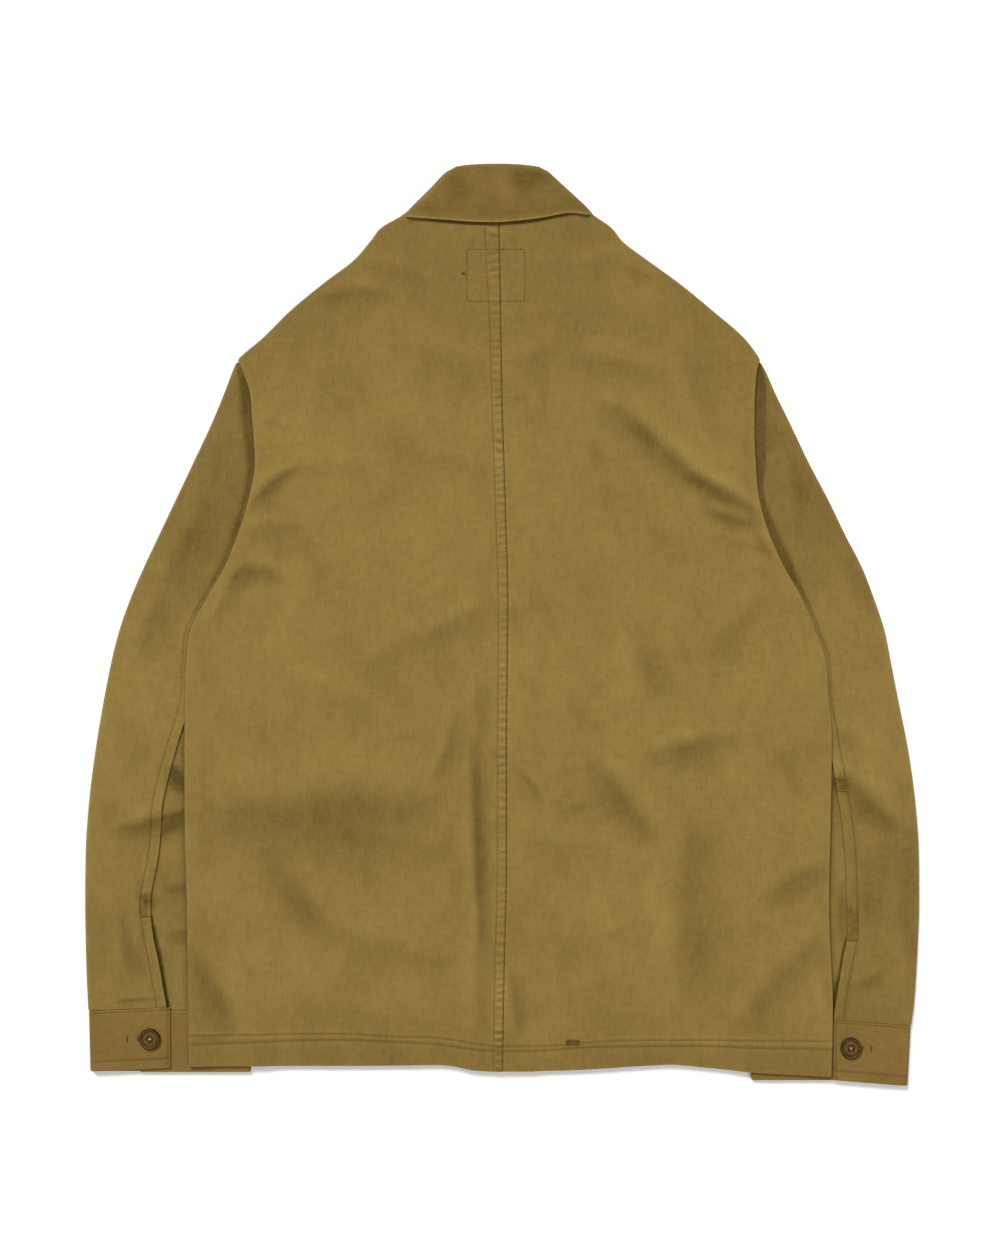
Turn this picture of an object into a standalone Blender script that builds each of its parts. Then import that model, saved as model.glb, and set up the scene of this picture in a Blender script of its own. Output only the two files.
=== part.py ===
"""Coverall jacket laid flat on its front, back up: every cut piece is a cloth wall of its own.

X runs across the jacket (the wearer's left is -X), Y runs up to the collar and Z up from the
surface that it lies on. The tables are in millimetres; the mesh is made in metres.
"""

import math

import bpy
import numpy as np

MM = 0.001

# ---- cloth, seams and the collar's make-up (millimetres) ----
CLOTH = 1.1  # cotton drill, as it measures when it isn't pressed
CUFF_CLOTH = 2.0  # two plies and the interlining
SEAM = 0.3  # gap between neighbouring pieces
CLEARANCE = 0.6  # least air between the back and what lies under it
TUCK = 5.0  # how far a sleeve runs under the edge that is sewn over it
SLEEVE_LAP = 10.0  # how far the under sleeve runs under the top sleeve's back seam
UNDER_SLEEVE_RETURN = 28.0  # from the sleeve's inner fold to its front seam

FRONT_LAP = 20.0  # each front runs this far past the centre
PLACKET_HALF = 24.0  # half width of the zone that the front buttons lift
PLACKET_FADE = 28.0
BUTTON_LIFT = 2.9  # outer face of the left front over its buttons
LAP_LIFT = 1.7  # the right front lies behind the left one

RAMP_HOLD = 5.0  # the fronts stay up this far past the sleeve's hidden fold
RAMP_FADE = 28.0
EDGE_HOLD = 12.0  # the edges' own level runs this far in
EDGE_FADE = 10.0
EDGE_RAMP = 16.0  # least width of the raised strip where no sleeve lies under it
EDGE_STEP = 1.0  # the curl starts from the face's height this far inside the edge
CURL_PARTS = (0.0, 0.5, 1.0)
LEAST_STEP = 2.0  # least distance between a front's neck seam and its side columns
HEM_FOLLOW = 60.0  # rows this close to the hem or cuff lean to its line
CUFF_FOLLOW = 50.0
SLEEVE_PARTS = (0.0, 0.3, 0.65)  # columns across a sleeve's upper side
SEAM_STRIP = 6.5  # a sleeve lies level this far beside its seam

NECK_SEAM_Y = 356.0
COLLAR_TOP_Y, COLLAR_LOW_Y = 384.0, 347.0  # heights at which its long edges are read
NECK_CENTRE_Z = 6.5  # half of the collar's thickness as it lies
# Outer faces of each ply's stand and fall from that centre, and how far its fold lies lower.
TOP_COLLAR = {"stand": 0.7, "fall": 6.5, "drop": 0.0}
UNDER_COLLAR = {"stand": 2.2, "fall": 5.0, "drop": 0.8}
COLLAR_REACH = TOP_COLLAR["fall"]
COLLAR_TURN = (TOP_COLLAR["fall"] - TOP_COLLAR["stand"]) / 2  # outer radius of the fold
COLLAR_END_X = 2.0
COLLAR_SPREAD = 36.0  # its points stand this far out from the centre
COLLAR_BREAK_Y = 285.0
COLLAR_POINT_Y = 212.0
COLLAR_LIFT = 3.3  # the fronts lie on the collar's points
COLLAR_BACK_PARTS = (0.0, 0.25, 0.5, 0.75, 1.0)
COLLAR_TURN_ANGLES = (45.0, 0.0, -45.0)  # sections round the side of the neck, degrees
COLLAR_LIFT_HOLD = 6.0
COLLAR_LIFT_FADE = 44.0

BUTTON_RADIUS = 9.0
BUTTON_THICKNESS = 2.6
BUTTON_SIDES = 16
BUTTON_RIM = 1.8
BUTTON_DISH = 0.7
BUTTON_ROUND = 0.6

SHARP_ANGLE = 40.0  # degrees
CLOTH_ROUGHNESS = 0.9
BUTTON_ROUGHNESS = 0.45
COLOURS = {
    "back": (0.28, 0.19, 0.05),
    "front": (0.27, 0.18, 0.05),
    "top_sleeve": (0.25, 0.17, 0.05),
    "under_sleeve": (0.24, 0.16, 0.05),
    "cuff": (0.23, 0.15, 0.04),
    "collar_top": (0.22, 0.15, 0.04),
    "collar_under": (0.20, 0.13, 0.04),
    "button": (0.16, 0.10, 0.04),
}

# Section heights of the body, from hem to neck seam.
BODY_ROWS = (
    -377, -350, -327, -285, -240, -195, -150, -105, -60, -30, -5, 22, 50,
    75, 105, 138, 172, 200, 224, 242, 268, 292, 318, 338, 346, 356,
)
SLEEVE_ROWS = (
    -327, -285, -240, -195, -150, -105, -60, -30, -5, 22, 50,
    75, 105, 138, 172, 200, 216,
)
UNDER_SLEEVE_TOP = 50

# Edge of the back, as distances from the middle: side edge, armhole seam, shoulder, neck.
BODY_OUTLINE = {
    "columns": ("y", "left", "right"),
    "rows": (
        (-380, 266.0, 279.8),
        (-327, 266.7, 281.2),
        (-240, 267.8, 278.1),
        (-150, 269.8, 279.7),
        (-94, 269.7, 280.5),
        (-60, 269.4, 277.5),
        (-30, 268.3, 275.0),
        (-5, 265.0, 266.6),
        (22, 251.4, 255.2),
        (50, 235.4, 239.5),
        (75, 225.4, 228.3),
        (105, 216.2, 219.5),
        (138, 210.4, 216.2),
        (172, 212.5, 215.1),
        (200, 215.3, 215.7),
        (224, 225.3, 217.2),
        (242, 205.6, 207.3),
        (268, 178.8, 177.9),
        (292, 149.2, 148.2),
        (318, 117.2, 110.4),
        (338, 101.0, 91.7),
        (346, 80.4, 75.5),
        (356, 73.4, 67.5),
    ),
}

# What lies where at the body's edge, as heights of outer faces:
# the fronts over the sleeves, the fronts and the back at their own edge, and the back inside.
STACK = {
    "columns": ("y", "front", "front_edge", "back_edge", "back", "curl"),
    "rows": (
        (-377, 5.0, 5.0, 9.1, 5.6, 1.0),
        (-327, 5.0, 5.0, 9.1, 5.6, 1.0),
        (-285, 4.2, 4.9, 8.9, 5.6, 1.0),
        (-240, 3.5, 4.9, 8.9, 5.6, 1.0),
        (-30, 3.5, 4.9, 8.9, 5.6, 1.0),
        (-5, 3.5, 4.9, 7.7, 5.6, 0.0),
        (75, 3.5, 4.9, 7.7, 5.6, 0.0),
        (105, 1.5, 1.5, 6.8, 5.6, 0.0),
        (224, 1.5, 1.5, 6.8, 6.0, 0.0),
        (242, 1.5, 1.5, 6.8, 6.2, 1.0),
        (268, 1.8, 1.8, 7.4, 6.8, 1.0),
        (292, 2.2, 2.2, 8.0, 7.6, 1.0),
        (318, 2.8, 2.8, 8.9, 8.6, 1.0),
        (338, 3.3, 3.3, 9.7, 9.5, 1.0),
        (356, 3.3, 3.3, 9.7, 9.7, 1.0),
    ),
}

# How far inside the back's edge the front's armhole edge lies.
FRONT_INSET = {
    "columns": ("y", "inset"),
    "rows": (
        (-5, 0.0), (22, 1.0), (50, 1.0), (75, 8.0), (105, 9.0), (200, 9.0), (224, 4.0), (242, 0.0),
    ),
}

# Sleeves as distances from the middle: outer fold, back seam, and the hidden inner fold.
SLEEVES = {
    "columns": ("y", "outer_left", "seam_left", "fold_left", "outer_right", "seam_right", "fold_right"),
    "rows": (
        (-392, 350.0, 282.0, 215.4, 344.0, 283.5, 212.5),
        (-327, 352.3, 284.0, 208.0, 349.0, 283.0, 206.0),
        (-285, 353.6, 290.2, 203.0, 352.4, 289.3, 203.0),
        (-240, 354.5, 298.2, 197.0, 354.3, 293.7, 198.0),
        (-195, 354.1, 292.2, 192.0, 354.0, 292.2, 193.0),
        (-150, 351.1, 288.4, 188.0, 350.9, 286.9, 189.0),
        (-105, 345.4, 277.1, 185.0, 344.6, 279.0, 187.0),
        (-60, 337.8, 264.4, 184.0, 335.6, 271.5, 186.0),
        (-30, 331.8, 263.3, 184.0, 329.8, 269.8, 187.0),
        (-5, 325.4, 260.0, 187.0, 324.8, 261.6, 190.0),
        (22, 315.9, 246.4, 190.0, 315.9, 250.2, 194.0),
        (50, 303.9, 230.4, 194.0, 305.0, 234.5, 199.0),
        (75, 292.1, 220.4, 200.0, 292.0, 223.3, 203.0),
        (105, 277.9, 211.2, 202.0, 277.5, 214.5, 205.0),
        (138, 262.3, 205.4, 196.4, 260.2, 211.2, 202.2),
        (172, 246.4, 207.5, 198.5, 244.0, 210.1, 201.1),
        (200, 234.9, 210.3, 201.3, 230.4, 210.7, 201.7),
        (216, 228.7, 216.4, 209.3, 223.7, 212.3, 205.0),
    ),
}

# Heights of the sleeve's upper faces: under sleeve, top sleeve at its back seam, outer fold, puff.
SLEEVE_LEVELS = {
    "columns": ("y", "under", "over", "outer", "puff"),
    "rows": (
        (-327, 4.1, 6.4, 6.4, 0.3),
        (-285, 3.5, 5.3, 5.4, 1.0),
        (-240, 3.0, 4.5, 5.0, 1.6),
        (75, 3.0, 4.5, 5.0, 1.6),
        (172, 3.0, 4.5, 5.0, 1.2),
        (216, 3.0, 4.5, 4.6, 0.2),
    ),
}

# Cuffs: heights of the seam and the lower edge at the lap's end and at the outer fold.
CUFFS = {
    "left": {
        "side": -1, "lap_end": 282.0, "outer": 351.0, "fold": 214.0, "underlap_end": 308.0,
        "top": (-325.6, -328.6), "bottom": (-377.0, -380.0), "hidden_bottom": -381.0,
        "button": (298.7, -351.8),
    },
    "right": {
        "side": 1, "lap_end": 283.6, "outer": 346.6, "fold": 212.5, "underlap_end": 309.0,
        "top": (-336.2, -341.3), "bottom": (-387.4, -392.3), "hidden_bottom": -388.0,
        "button": (296.1, -359.6),
    },
}
CUFF_LEVELS = {"under": 4.6, "over": 7.0}

HEM = {
    "columns": ("x", "y"),
    "rows": (
        (-266, -375.3), (-53, -375.3), (-36, -377.8), (-19, -379.5), (66, -378.7),
        (100, -376.1), (143, -374.4), (175, -377.0), (211, -380.4), (276, -383.8),
    ),
}

CENTRE_BACK = {
    "columns": ("y", "x"),
    "rows": (
        (-380, 0.5), (-300, 1.8), (-200, 4.0), (-110, 4.0), (20, 5.1), (100, 3.0), (200, 0.0),
        (356, -2.8),
    ),
}

# Collar outline seen from the back: side edges by height, and the two long edges by x.
COLLAR_SIDES = {
    "columns": ("y", "left", "right"),
    "rows": (
        (347.0, 84.2, 79.3),
        (355.0, 78.2, 72.3),
        (363.4, 69.7, 63.5),
        (372.0, 61.2, 53.9),
        (381.0, 52.9, 44.2),
        (386.3, 46.8, 38.5),
    ),
}
COLLAR_EDGES = {
    "columns": ("x", "fold", "edge"),
    "rows": (
        (-78, 387.0, 346.6), (-43, 387.5, 344.0), (-33, 390.4, 343.2), (-23, 391.6, 342.6),
        (-6, 392.3, 342.4), (12, 391.2, 343.6), (26, 390.0, 345.0), (35, 387.8, 346.4),
        (49, 387.0, 348.9), (62, 387.0, 350.4), (73, 387.0, 348.6),
    ),
}
# The collar round the front, from the side of the neck (across 1) to the centre (across 0).
COLLAR_FRONT = {
    "columns": ("across", "seam", "fold", "edge"),
    "rows": (
        (1.00, 356.0, 386.5, 346.6),
        (0.80, 346.0, 374.0, 324.0),
        (0.65, 338.0, 364.0, 302.0),
        (0.45, 318.0, 348.0, 270.0),
        (0.24, 292.0, 324.0, 240.0),
        (0.02, 268.0, 298.0, 212.0),
    ),
}
# Where the fronts begin to rise over the collar, by distance from the middle.
COLLAR_FOOTPRINT = {
    "columns": ("x", "y"),
    "rows": ((66, 212), (78, 240), (85, 270), (88, 300), (91, 318), (112, 347)),
}

FRONT_BUTTON_YS = (240.0, 112.0, -16.0, -144.0, -272.0)

# Largest folds of the back: middle, direction, half length, half width and rise.
BACK_FOLDS = {
    "columns": ("x", "y", "angle", "length", "width", "rise"),
    "rows": (
        (150, 165, -42, 90, 26, 1.8),
        (-60, 215, 12, 110, 30, 1.2),
        (-150, -150, -8, 120, 34, 1.6),
        (100, -90, -35, 110, 30, 1.5),
        (-90, -10, 40, 120, 34, 1.2),
        (90, -260, 80, 110, 34, 1.4),
        (-120, -250, 60, 90, 34, 1.4),
        (170, -20, 62, 90, 28, 1.4),
    ),
}


# ---- tables ----
def column(table, name):
    """One named column of a table, as an array."""
    index = table["columns"].index(name)
    return np.array([row[index] for row in table["rows"]], dtype=float)


def look_up(table, name, at, key="y"):
    """The value of a column at a height or place, read straight between the rows."""
    return float(np.interp(at, column(table, key), column(table, name)))


def hold_and_fade(distance, hold, fade):
    """1 up to hold, then straight down to 0 over fade."""
    return float(np.clip((hold + fade - distance) / fade, 0.0, 1.0))


def side_name(side):
    return "left" if side < 0 else "right"


# ---- meshes ----
def make_material(name, colour, roughness):
    material = bpy.data.materials.new(name)
    material.use_nodes = True
    shader = material.node_tree.nodes["Principled BSDF"]
    shader.inputs["Base Color"].default_value = (*colour, 1.0)
    shader.inputs["Roughness"].default_value = roughness
    shader.inputs["Metallic"].default_value = 0.0
    return material


def add_object(name, points, triangles, colour, roughness):
    """Make one named object from points in millimetres, with its faces pointing out."""
    points = np.asarray(points, dtype=float)
    corners = points[np.asarray(triangles)]
    volume = np.einsum("ij,ij->i", corners[:, 0], np.cross(corners[:, 1], corners[:, 2])).sum()
    if volume < 0:
        triangles = [face[::-1] for face in triangles]
    mesh = bpy.data.meshes.new(name)
    mesh.from_pydata((points * MM).tolist(), [], triangles)
    mesh.shade_smooth()
    mesh.set_sharp_from_angle(angle=math.radians(SHARP_ANGLE))
    mesh.materials.append(make_material(name + "_finish", colour, roughness))
    piece = bpy.data.objects.new(name, mesh)
    bpy.context.scene.collection.objects.link(piece)
    return piece


def cloth_wall(name, outer, outward, thickness, colour_name):
    """Thicken a grid of points against its outward directions into one closed wall."""
    outer = np.asarray(outer, dtype=float)
    inner = outer - thickness * np.asarray(outward, dtype=float)
    rows, columns = outer.shape[:2]
    count = rows * columns

    def index(layer, row, col):
        return layer * count + row * columns + col

    triangles = []
    for row in range(rows - 1):
        for col in range(columns - 1):
            a, b = index(0, row, col), index(0, row, col + 1)
            c, d = index(0, row + 1, col + 1), index(0, row + 1, col)
            triangles += [(a, b, c), (a, c, d)]
            a, b, c, d = a + count, b + count, c + count, d + count
            triangles += [(a, c, b), (a, d, c)]
    border = [(0, col) for col in range(columns)]
    border += [(row, columns - 1) for row in range(1, rows)]
    border += [(rows - 1, col) for col in range(columns - 2, -1, -1)]
    border += [(row, 0) for row in range(rows - 2, 0, -1)]
    for here, there in zip(border, border[1:] + border[:1]):
        a, b = index(0, *here), index(0, *there)
        triangles += [(b, a, a + count), (b, a + count, b + count)]
    points = np.concatenate([outer.reshape(-1, 3), inner.reshape(-1, 3)])
    return add_object(name, points, triangles, COLOURS[colour_name], CLOTH_ROUGHNESS)


# ---- the body ----
def sleeve_reach(side, y):
    """How far the sleeve runs in under the body, measured from the body's edge."""
    edge = look_up(BODY_OUTLINE, side_name(side), y)
    if y > SLEEVE_ROWS[-1]:
        return 0.0
    return edge - look_up(SLEEVES, "fold_" + side_name(side), y)


def front_face(side, distance, y):
    """Height of a front's outer face, which looks down at the surface."""
    edge = look_up(BODY_OUTLINE, side_name(side), y)
    inside = edge - distance
    over_sleeve = look_up(STACK, "front", y)
    over_sleeve *= hold_and_fade(inside, max(sleeve_reach(side, y) + RAMP_HOLD, EDGE_RAMP), RAMP_FADE)
    at_edge = look_up(STACK, "front_edge", y) * hold_and_fade(inside, EDGE_HOLD, EDGE_FADE)
    at_placket = hold_and_fade(abs(distance), PLACKET_HALF, PLACKET_FADE)
    below = look_up(COLLAR_FOOTPRINT, "y", distance, key="x") - y
    over_collar = COLLAR_LIFT * hold_and_fade(below, COLLAR_LIFT_HOLD, COLLAR_LIFT_FADE)
    level = max(over_sleeve, at_edge, BUTTON_LIFT * at_placket, over_collar)
    return level + (LAP_LIFT * at_placket if side > 0 else 0.0)


def fold_rise(x, y):
    """Height that the largest folds add to the back at a point."""
    rise = 0.0
    for fold_x, fold_y, angle, length, width, height in BACK_FOLDS["rows"]:
        turn = math.radians(angle)
        along = (x - fold_x) * math.cos(turn) + (y - fold_y) * math.sin(turn)
        across = (y - fold_y) * math.cos(turn) - (x - fold_x) * math.sin(turn)
        rise += height * math.exp(-((along / length) ** 2) - (across / width) ** 2)
    return rise


def back_face(side, distance, y):
    """Height of the back's outer face, clear of the fronts under it."""
    inside = look_up(BODY_OUTLINE, side_name(side), y) - distance
    front_top = max(front_face(-1, distance, y), front_face(1, distance, y)) + CLOTH
    level = look_up(STACK, "back", y)
    folds = fold_rise(side * distance, y) * (1.0 - hold_and_fade(inside, EDGE_HOLD, RAMP_FADE))
    face = max(level + folds, front_top + CLOTH + CLEARANCE)
    at_edge = hold_and_fade(inside, EDGE_HOLD, EDGE_FADE)
    return face * (1.0 - at_edge) + look_up(STACK, "back_edge", y) * at_edge


def curled_edge(edge, height, y, up):
    """Points and directions where a panel runs out to its edge and curls half way round it."""
    radius = (look_up(STACK, "back_edge", y) - look_up(STACK, "front_edge", y)) / 2
    arc = (radius - SEAM / 2) * math.pi / 2
    turn = look_up(STACK, "curl", y) * math.pi / 2
    bend = arc / turn if turn > 0 else 0.0
    run = bend * math.sin(turn) if turn > 0 else arc
    points = []
    for part in CURL_PARTS:
        angle = turn * part
        if turn > 0:
            across, fall = bend * math.sin(angle), bend * (1 - math.cos(angle))
        else:
            across, fall = arc * part, 0.0
        points.append((edge - run + across, height - up * fall, math.sin(angle), up * math.cos(angle)))
    return points


def row_height(x, y):
    """Let the lowest rows follow the hem's own line."""
    follow = hold_and_fade(y - BODY_ROWS[0], 0.0, HEM_FOLLOW)
    return y + follow * (look_up(HEM, "y", x, key="x") - BODY_ROWS[0])


def panel_stations(side, y, edge):
    """Distances at which a body panel's section bends: the ramp's foot and top, and the edge's strip."""
    reach = max(sleeve_reach(side, y) + RAMP_HOLD, EDGE_RAMP)
    outline = look_up(BODY_OUTLINE, side_name(side), y)
    ramp_top, ramp_foot = outline - reach, outline - reach - RAMP_FADE
    return ramp_foot, ramp_top, min(outline - EDGE_HOLD, edge - EDGE_HOLD / 2)


def section(side, y, distances, face, edge, up):
    """One row of a panel: its points and outward directions."""
    heights = [(d, face(side, d, y), 0.0, up) for d in distances]
    heights += curled_edge(edge, face(side, edge - EDGE_STEP, y), y, up)
    points = [(side * d, row_height(side * d, y), z) for d, z, _, _ in heights]
    outward = [(side * nx, 0.0, nz) for _, _, nx, nz in heights]
    return points, outward


def make_back(side):
    rows = []
    for y in BODY_ROWS:
        edge = look_up(BODY_OUTLINE, side_name(side), y)
        start = side * look_up(CENTRE_BACK, "x", y) + SEAM / 2
        foot, top, edge_in = panel_stations(side, y, edge)
        flat = min(PLACKET_HALF + PLACKET_FADE, foot - EDGE_HOLD)
        distances = [start, min(PLACKET_HALF, flat / 2), *np.linspace(flat, foot, 4), top, edge_in]
        rows.append(section(side, y, distances, back_face, edge, 1.0))
    points, outward = (np.array(part) for part in zip(*rows))
    points[-1, :, 1] -= SEAM / 2
    cloth_wall("back_" + side_name(side), points, outward, CLOTH, "back")


def neckline(side, y):
    """Distance of the front's neck seam from the middle at one height."""
    seam, across = column(COLLAR_FRONT, "seam"), column(COLLAR_FRONT, "across")
    part = float(np.interp(y, seam[::-1], across[::-1]))
    return collar_x(y, part, collar_half_width(side, NECK_SEAM_Y))


def make_front(side):
    rows = []
    for y in BODY_ROWS[:-1]:
        edge = look_up(BODY_OUTLINE, side_name(side), y)
        edge -= look_up(FRONT_INSET, "inset", y)
        foot, top, edge_in = panel_stations(side, y, edge)
        if y >= COLLAR_FRONT["rows"][-1][1]:
            start = neckline(side, y) + SEAM
            distances = list(np.linspace(start, max(top, start + LEAST_STEP), 7))
            edge_in = max(edge_in, distances[-1] + LEAST_STEP)
        else:
            flat = PLACKET_HALF + PLACKET_FADE
            distances = [-FRONT_LAP, COLLAR_END_X, PLACKET_HALF, flat, (flat + foot) / 2, foot, top]
        rows.append(section(side, y, distances + [edge_in], front_face, edge, -1.0))
    points, outward = (np.array(part) for part in zip(*rows))
    cloth_wall("front_" + side_name(side), points, outward, CLOTH, "front")


# ---- sleeves ----
def sleeve_bottom(side, distance, upper):
    """Height of the cuff's seam: it slopes across the upper side and is level below."""
    cuff = CUFFS[side_name(side)]
    inner, outer = cuff["top"]
    if not upper:
        return outer + SEAM
    return float(np.interp(distance, (cuff["lap_end"], cuff["outer"]), (inner, outer))) + SEAM


def sleeve_point(side, y, distance, height, upper):
    """A sleeve's point, with its lowest row led along the cuff's seam."""
    foot = SLEEVE_ROWS[0]
    follow = hold_and_fade(y - foot, 0.0, CUFF_FOLLOW)
    return (side * distance, y + follow * (sleeve_bottom(side, distance, upper) - foot), height)


def fold_arc(centre, radius, start, stop, steps):
    """Points and directions round a fold, as distance, height, and direction."""
    angles = np.radians(np.linspace(start, stop, steps + 1))
    return [
        (centre + radius * math.cos(a), radius + radius * math.sin(a), math.cos(a), math.sin(a))
        for a in angles
    ]


def top_sleeve_end(side, y):
    """Where the top sleeve's lower side ends: at the front seam, or under the front's edge."""
    fold = look_up(SLEEVES, "fold_" + side_name(side), y)
    if y <= UNDER_SLEEVE_TOP:
        return fold + UNDER_SLEEVE_RETURN + SEAM
    edge = look_up(BODY_OUTLINE, side_name(side), y) - look_up(FRONT_INSET, "inset", y)
    return edge - TUCK


def make_top_sleeve(side):
    name = side_name(side)
    rows = []
    for y in SLEEVE_ROWS:
        seam = look_up(SLEEVES, "seam_" + name, y)
        outer = look_up(SLEEVES, "outer_" + name, y)
        over, rim, puff = (look_up(SLEEVE_LEVELS, key, y) for key in ("over", "outer", "puff"))
        radius = rim / 2
        hold = seam + min(SEAM_STRIP, SLEEVE_PARTS[1] * (outer - radius - seam))
        path = [(seam, over, 0.0, 1.0)]
        for part in SLEEVE_PARTS:
            distance = hold + part * (outer - radius - hold)
            height = over + part * (rim - over) + puff * math.sin(math.pi * part)
            path.append((distance, height, 0.0, 1.0))
        path += fold_arc(outer - radius, radius, 90, -90, 4)
        end = top_sleeve_end(side, y)
        path += [((outer - radius + end) / 2, 0.0, 0.0, -1.0), (end, 0.0, 0.0, -1.0)]
        upper = len(path) - 4
        points = [sleeve_point(side, y, d, z, i < upper) for i, (d, z, _, _) in enumerate(path)]
        rows.append((points, [(side * nx, 0.0, nz) for _, _, nx, nz in path]))
    points, outward = (np.array(part) for part in zip(*rows))
    cloth_wall("top_sleeve_" + name, points, outward, CLOTH, "top_sleeve")


def make_under_sleeve(side):
    name = side_name(side)
    rows = []
    for y in [row for row in SLEEVE_ROWS if row <= UNDER_SLEEVE_TOP]:
        seam = look_up(SLEEVES, "seam_" + name, y) + SLEEVE_LAP
        fold = look_up(SLEEVES, "fold_" + name, y)
        level = look_up(SLEEVE_LEVELS, "under", y)
        radius = level / 2
        path = [(d, level, 0.0, 1.0) for d in np.linspace(seam, fold + radius, 5)[:-1]]
        path += fold_arc(fold + radius, radius, 90, 270, 3)
        path.append((fold + UNDER_SLEEVE_RETURN, 0.0, 0.0, -1.0))
        points = [sleeve_point(side, y, d, z, False) for d, z, _, _ in path]
        rows.append((points, [(side * nx, 0.0, nz) for _, _, nx, nz in path]))
    points, outward = (np.array(part) for part in zip(*rows))
    cloth_wall("under_sleeve_" + name, points, outward, CLOTH, "under_sleeve")


def make_cuff(name):
    """A band that runs from its lapped end round both folds to the end under the lap."""
    cuff = CUFFS[name]
    side = cuff["side"]
    low, high = CUFF_LEVELS["under"], CUFF_LEVELS["over"]
    outer_middle, inner_middle = cuff["outer"] - high / 2, cuff["fold"] + low / 2
    path = [(d, high, 0.0, 1.0) for d in np.linspace(cuff["lap_end"], outer_middle, 4)[:-1]]
    path += fold_arc(outer_middle, high / 2, 90, -90, 4)
    upper = len(path) - 2
    path.append(((outer_middle + inner_middle) / 2, 0.0, 0.0, -1.0))
    path += fold_arc(inner_middle, low / 2, 270, 90, 4)
    path += [(d, low, 0.0, 1.0) for d in np.linspace(inner_middle, cuff["underlap_end"], 4)[1:]]
    rows = []
    for part in (0.0, 0.5, 1.0):
        points = []
        for i, (distance, height, _, _) in enumerate(path):
            span = (cuff["lap_end"], cuff["outer"])
            if i < upper:
                bottom = float(np.interp(distance, span, cuff["bottom"]))
                top = float(np.interp(distance, span, cuff["top"]))
            else:
                bottom, top = cuff["hidden_bottom"], cuff["top"][1]
            points.append((side * distance, bottom + part * (top - bottom), height))
        rows.append((points, [(side * nx, 0.0, nz) for _, _, nx, nz in path]))
    points, outward = (np.array(part) for part in zip(*rows))
    cloth_wall("cuff_" + name, points, outward, CUFF_CLOTH, "cuff")


# ---- collar ----
def collar_half_width(side, y):
    """Distance of the turn at the side of the neck, at one height."""
    return look_up(COLLAR_SIDES, side_name(side), y) - COLLAR_REACH


def collar_x(y, across, half_width):
    """Distance from the middle on the collar's front part, whose ends spread below the break."""
    spread = COLLAR_SPREAD * np.clip((COLLAR_BREAK_Y - y) / (COLLAR_BREAK_Y - COLLAR_POINT_Y), 0.0, 1.0)
    end = COLLAR_END_X + float(spread)
    return end + (half_width - end) * across


def collar_profile(plies, stand_foot, turn_y, edge):
    """Section across the collar from its free edge over the fold to the neck seam."""
    middle = (plies["stand"] + plies["fall"]) / 2
    radius = (plies["fall"] - plies["stand"]) / 2
    fall = [(plies["fall"], edge + part / 3 * (turn_y - edge), 1.0, 0.0) for part in (0, 1, 2)]
    turn = []
    for angle in np.radians((0, 60, 120, 180)):
        out, up = math.cos(angle), math.sin(angle)
        turn.append((middle + radius * out, turn_y + radius * up, out, up))
    stand = [(plies["stand"], turn_y + part * (stand_foot - turn_y), -1.0, 0.0) for part in (0.5, 1.0)]
    return fall + turn + stand


def collar_station(side, plies, kind, value):
    """One section of the collar at a station: back, turned side or front."""
    if kind == "front":
        across, seam, fold, edge = value
        side_seam, side_fold, side_edge = COLLAR_FRONT["rows"][0][1:]
        turn = -90.0
    else:
        seam = NECK_SEAM_Y
        part = value if kind == "back" else 1.0
        top_x, low_x = (side * part * collar_half_width(side, y) for y in (COLLAR_TOP_Y, COLLAR_LOW_Y))
        fold = look_up(COLLAR_EDGES, "fold", top_x, key="x")
        edge = look_up(COLLAR_EDGES, "edge", low_x, key="x")
        side_seam, side_fold, side_edge = seam, fold, edge
        turn = 90.0 if kind == "back" else value
    points, outward = [], []
    drop = COLLAR_TURN + plies["drop"]
    profile = collar_profile(plies, seam + SEAM / 2, fold - drop, edge)
    side_profile = collar_profile(plies, side_seam + SEAM / 2, side_fold - drop, side_edge)
    for (offset, y, out, up), (_, side_y, _, _) in zip(profile, side_profile):
        half = collar_half_width(side, min(side_y, side_fold - COLLAR_TURN))
        if kind == "front":
            distance = collar_x(y, across, half)
        else:
            distance = half * part
        lean, rise = math.cos(math.radians(turn)), math.sin(math.radians(turn))
        points.append((side * (distance + offset * lean), y, NECK_CENTRE_Z + offset * rise))
        outward.append((side * out * lean, up, out * rise))
    return points, outward


def make_collar(name, plies):
    """The collar from one front end round the back of the neck to the other."""
    stations = [("back", part) for part in COLLAR_BACK_PARTS]
    stations += [("side", angle) for angle in COLLAR_TURN_ANGLES]
    stations += [("front", row) for row in COLLAR_FRONT["rows"]]
    left, right = (
        [collar_station(side, plies, kind, value) for kind, value in stations] for side in (-1, 1)
    )
    rows = left[::-1] + right[1:]
    points, outward = (np.array(part) for part in zip(*rows))
    cloth_wall(name, points, outward, CLOTH, name)


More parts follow.
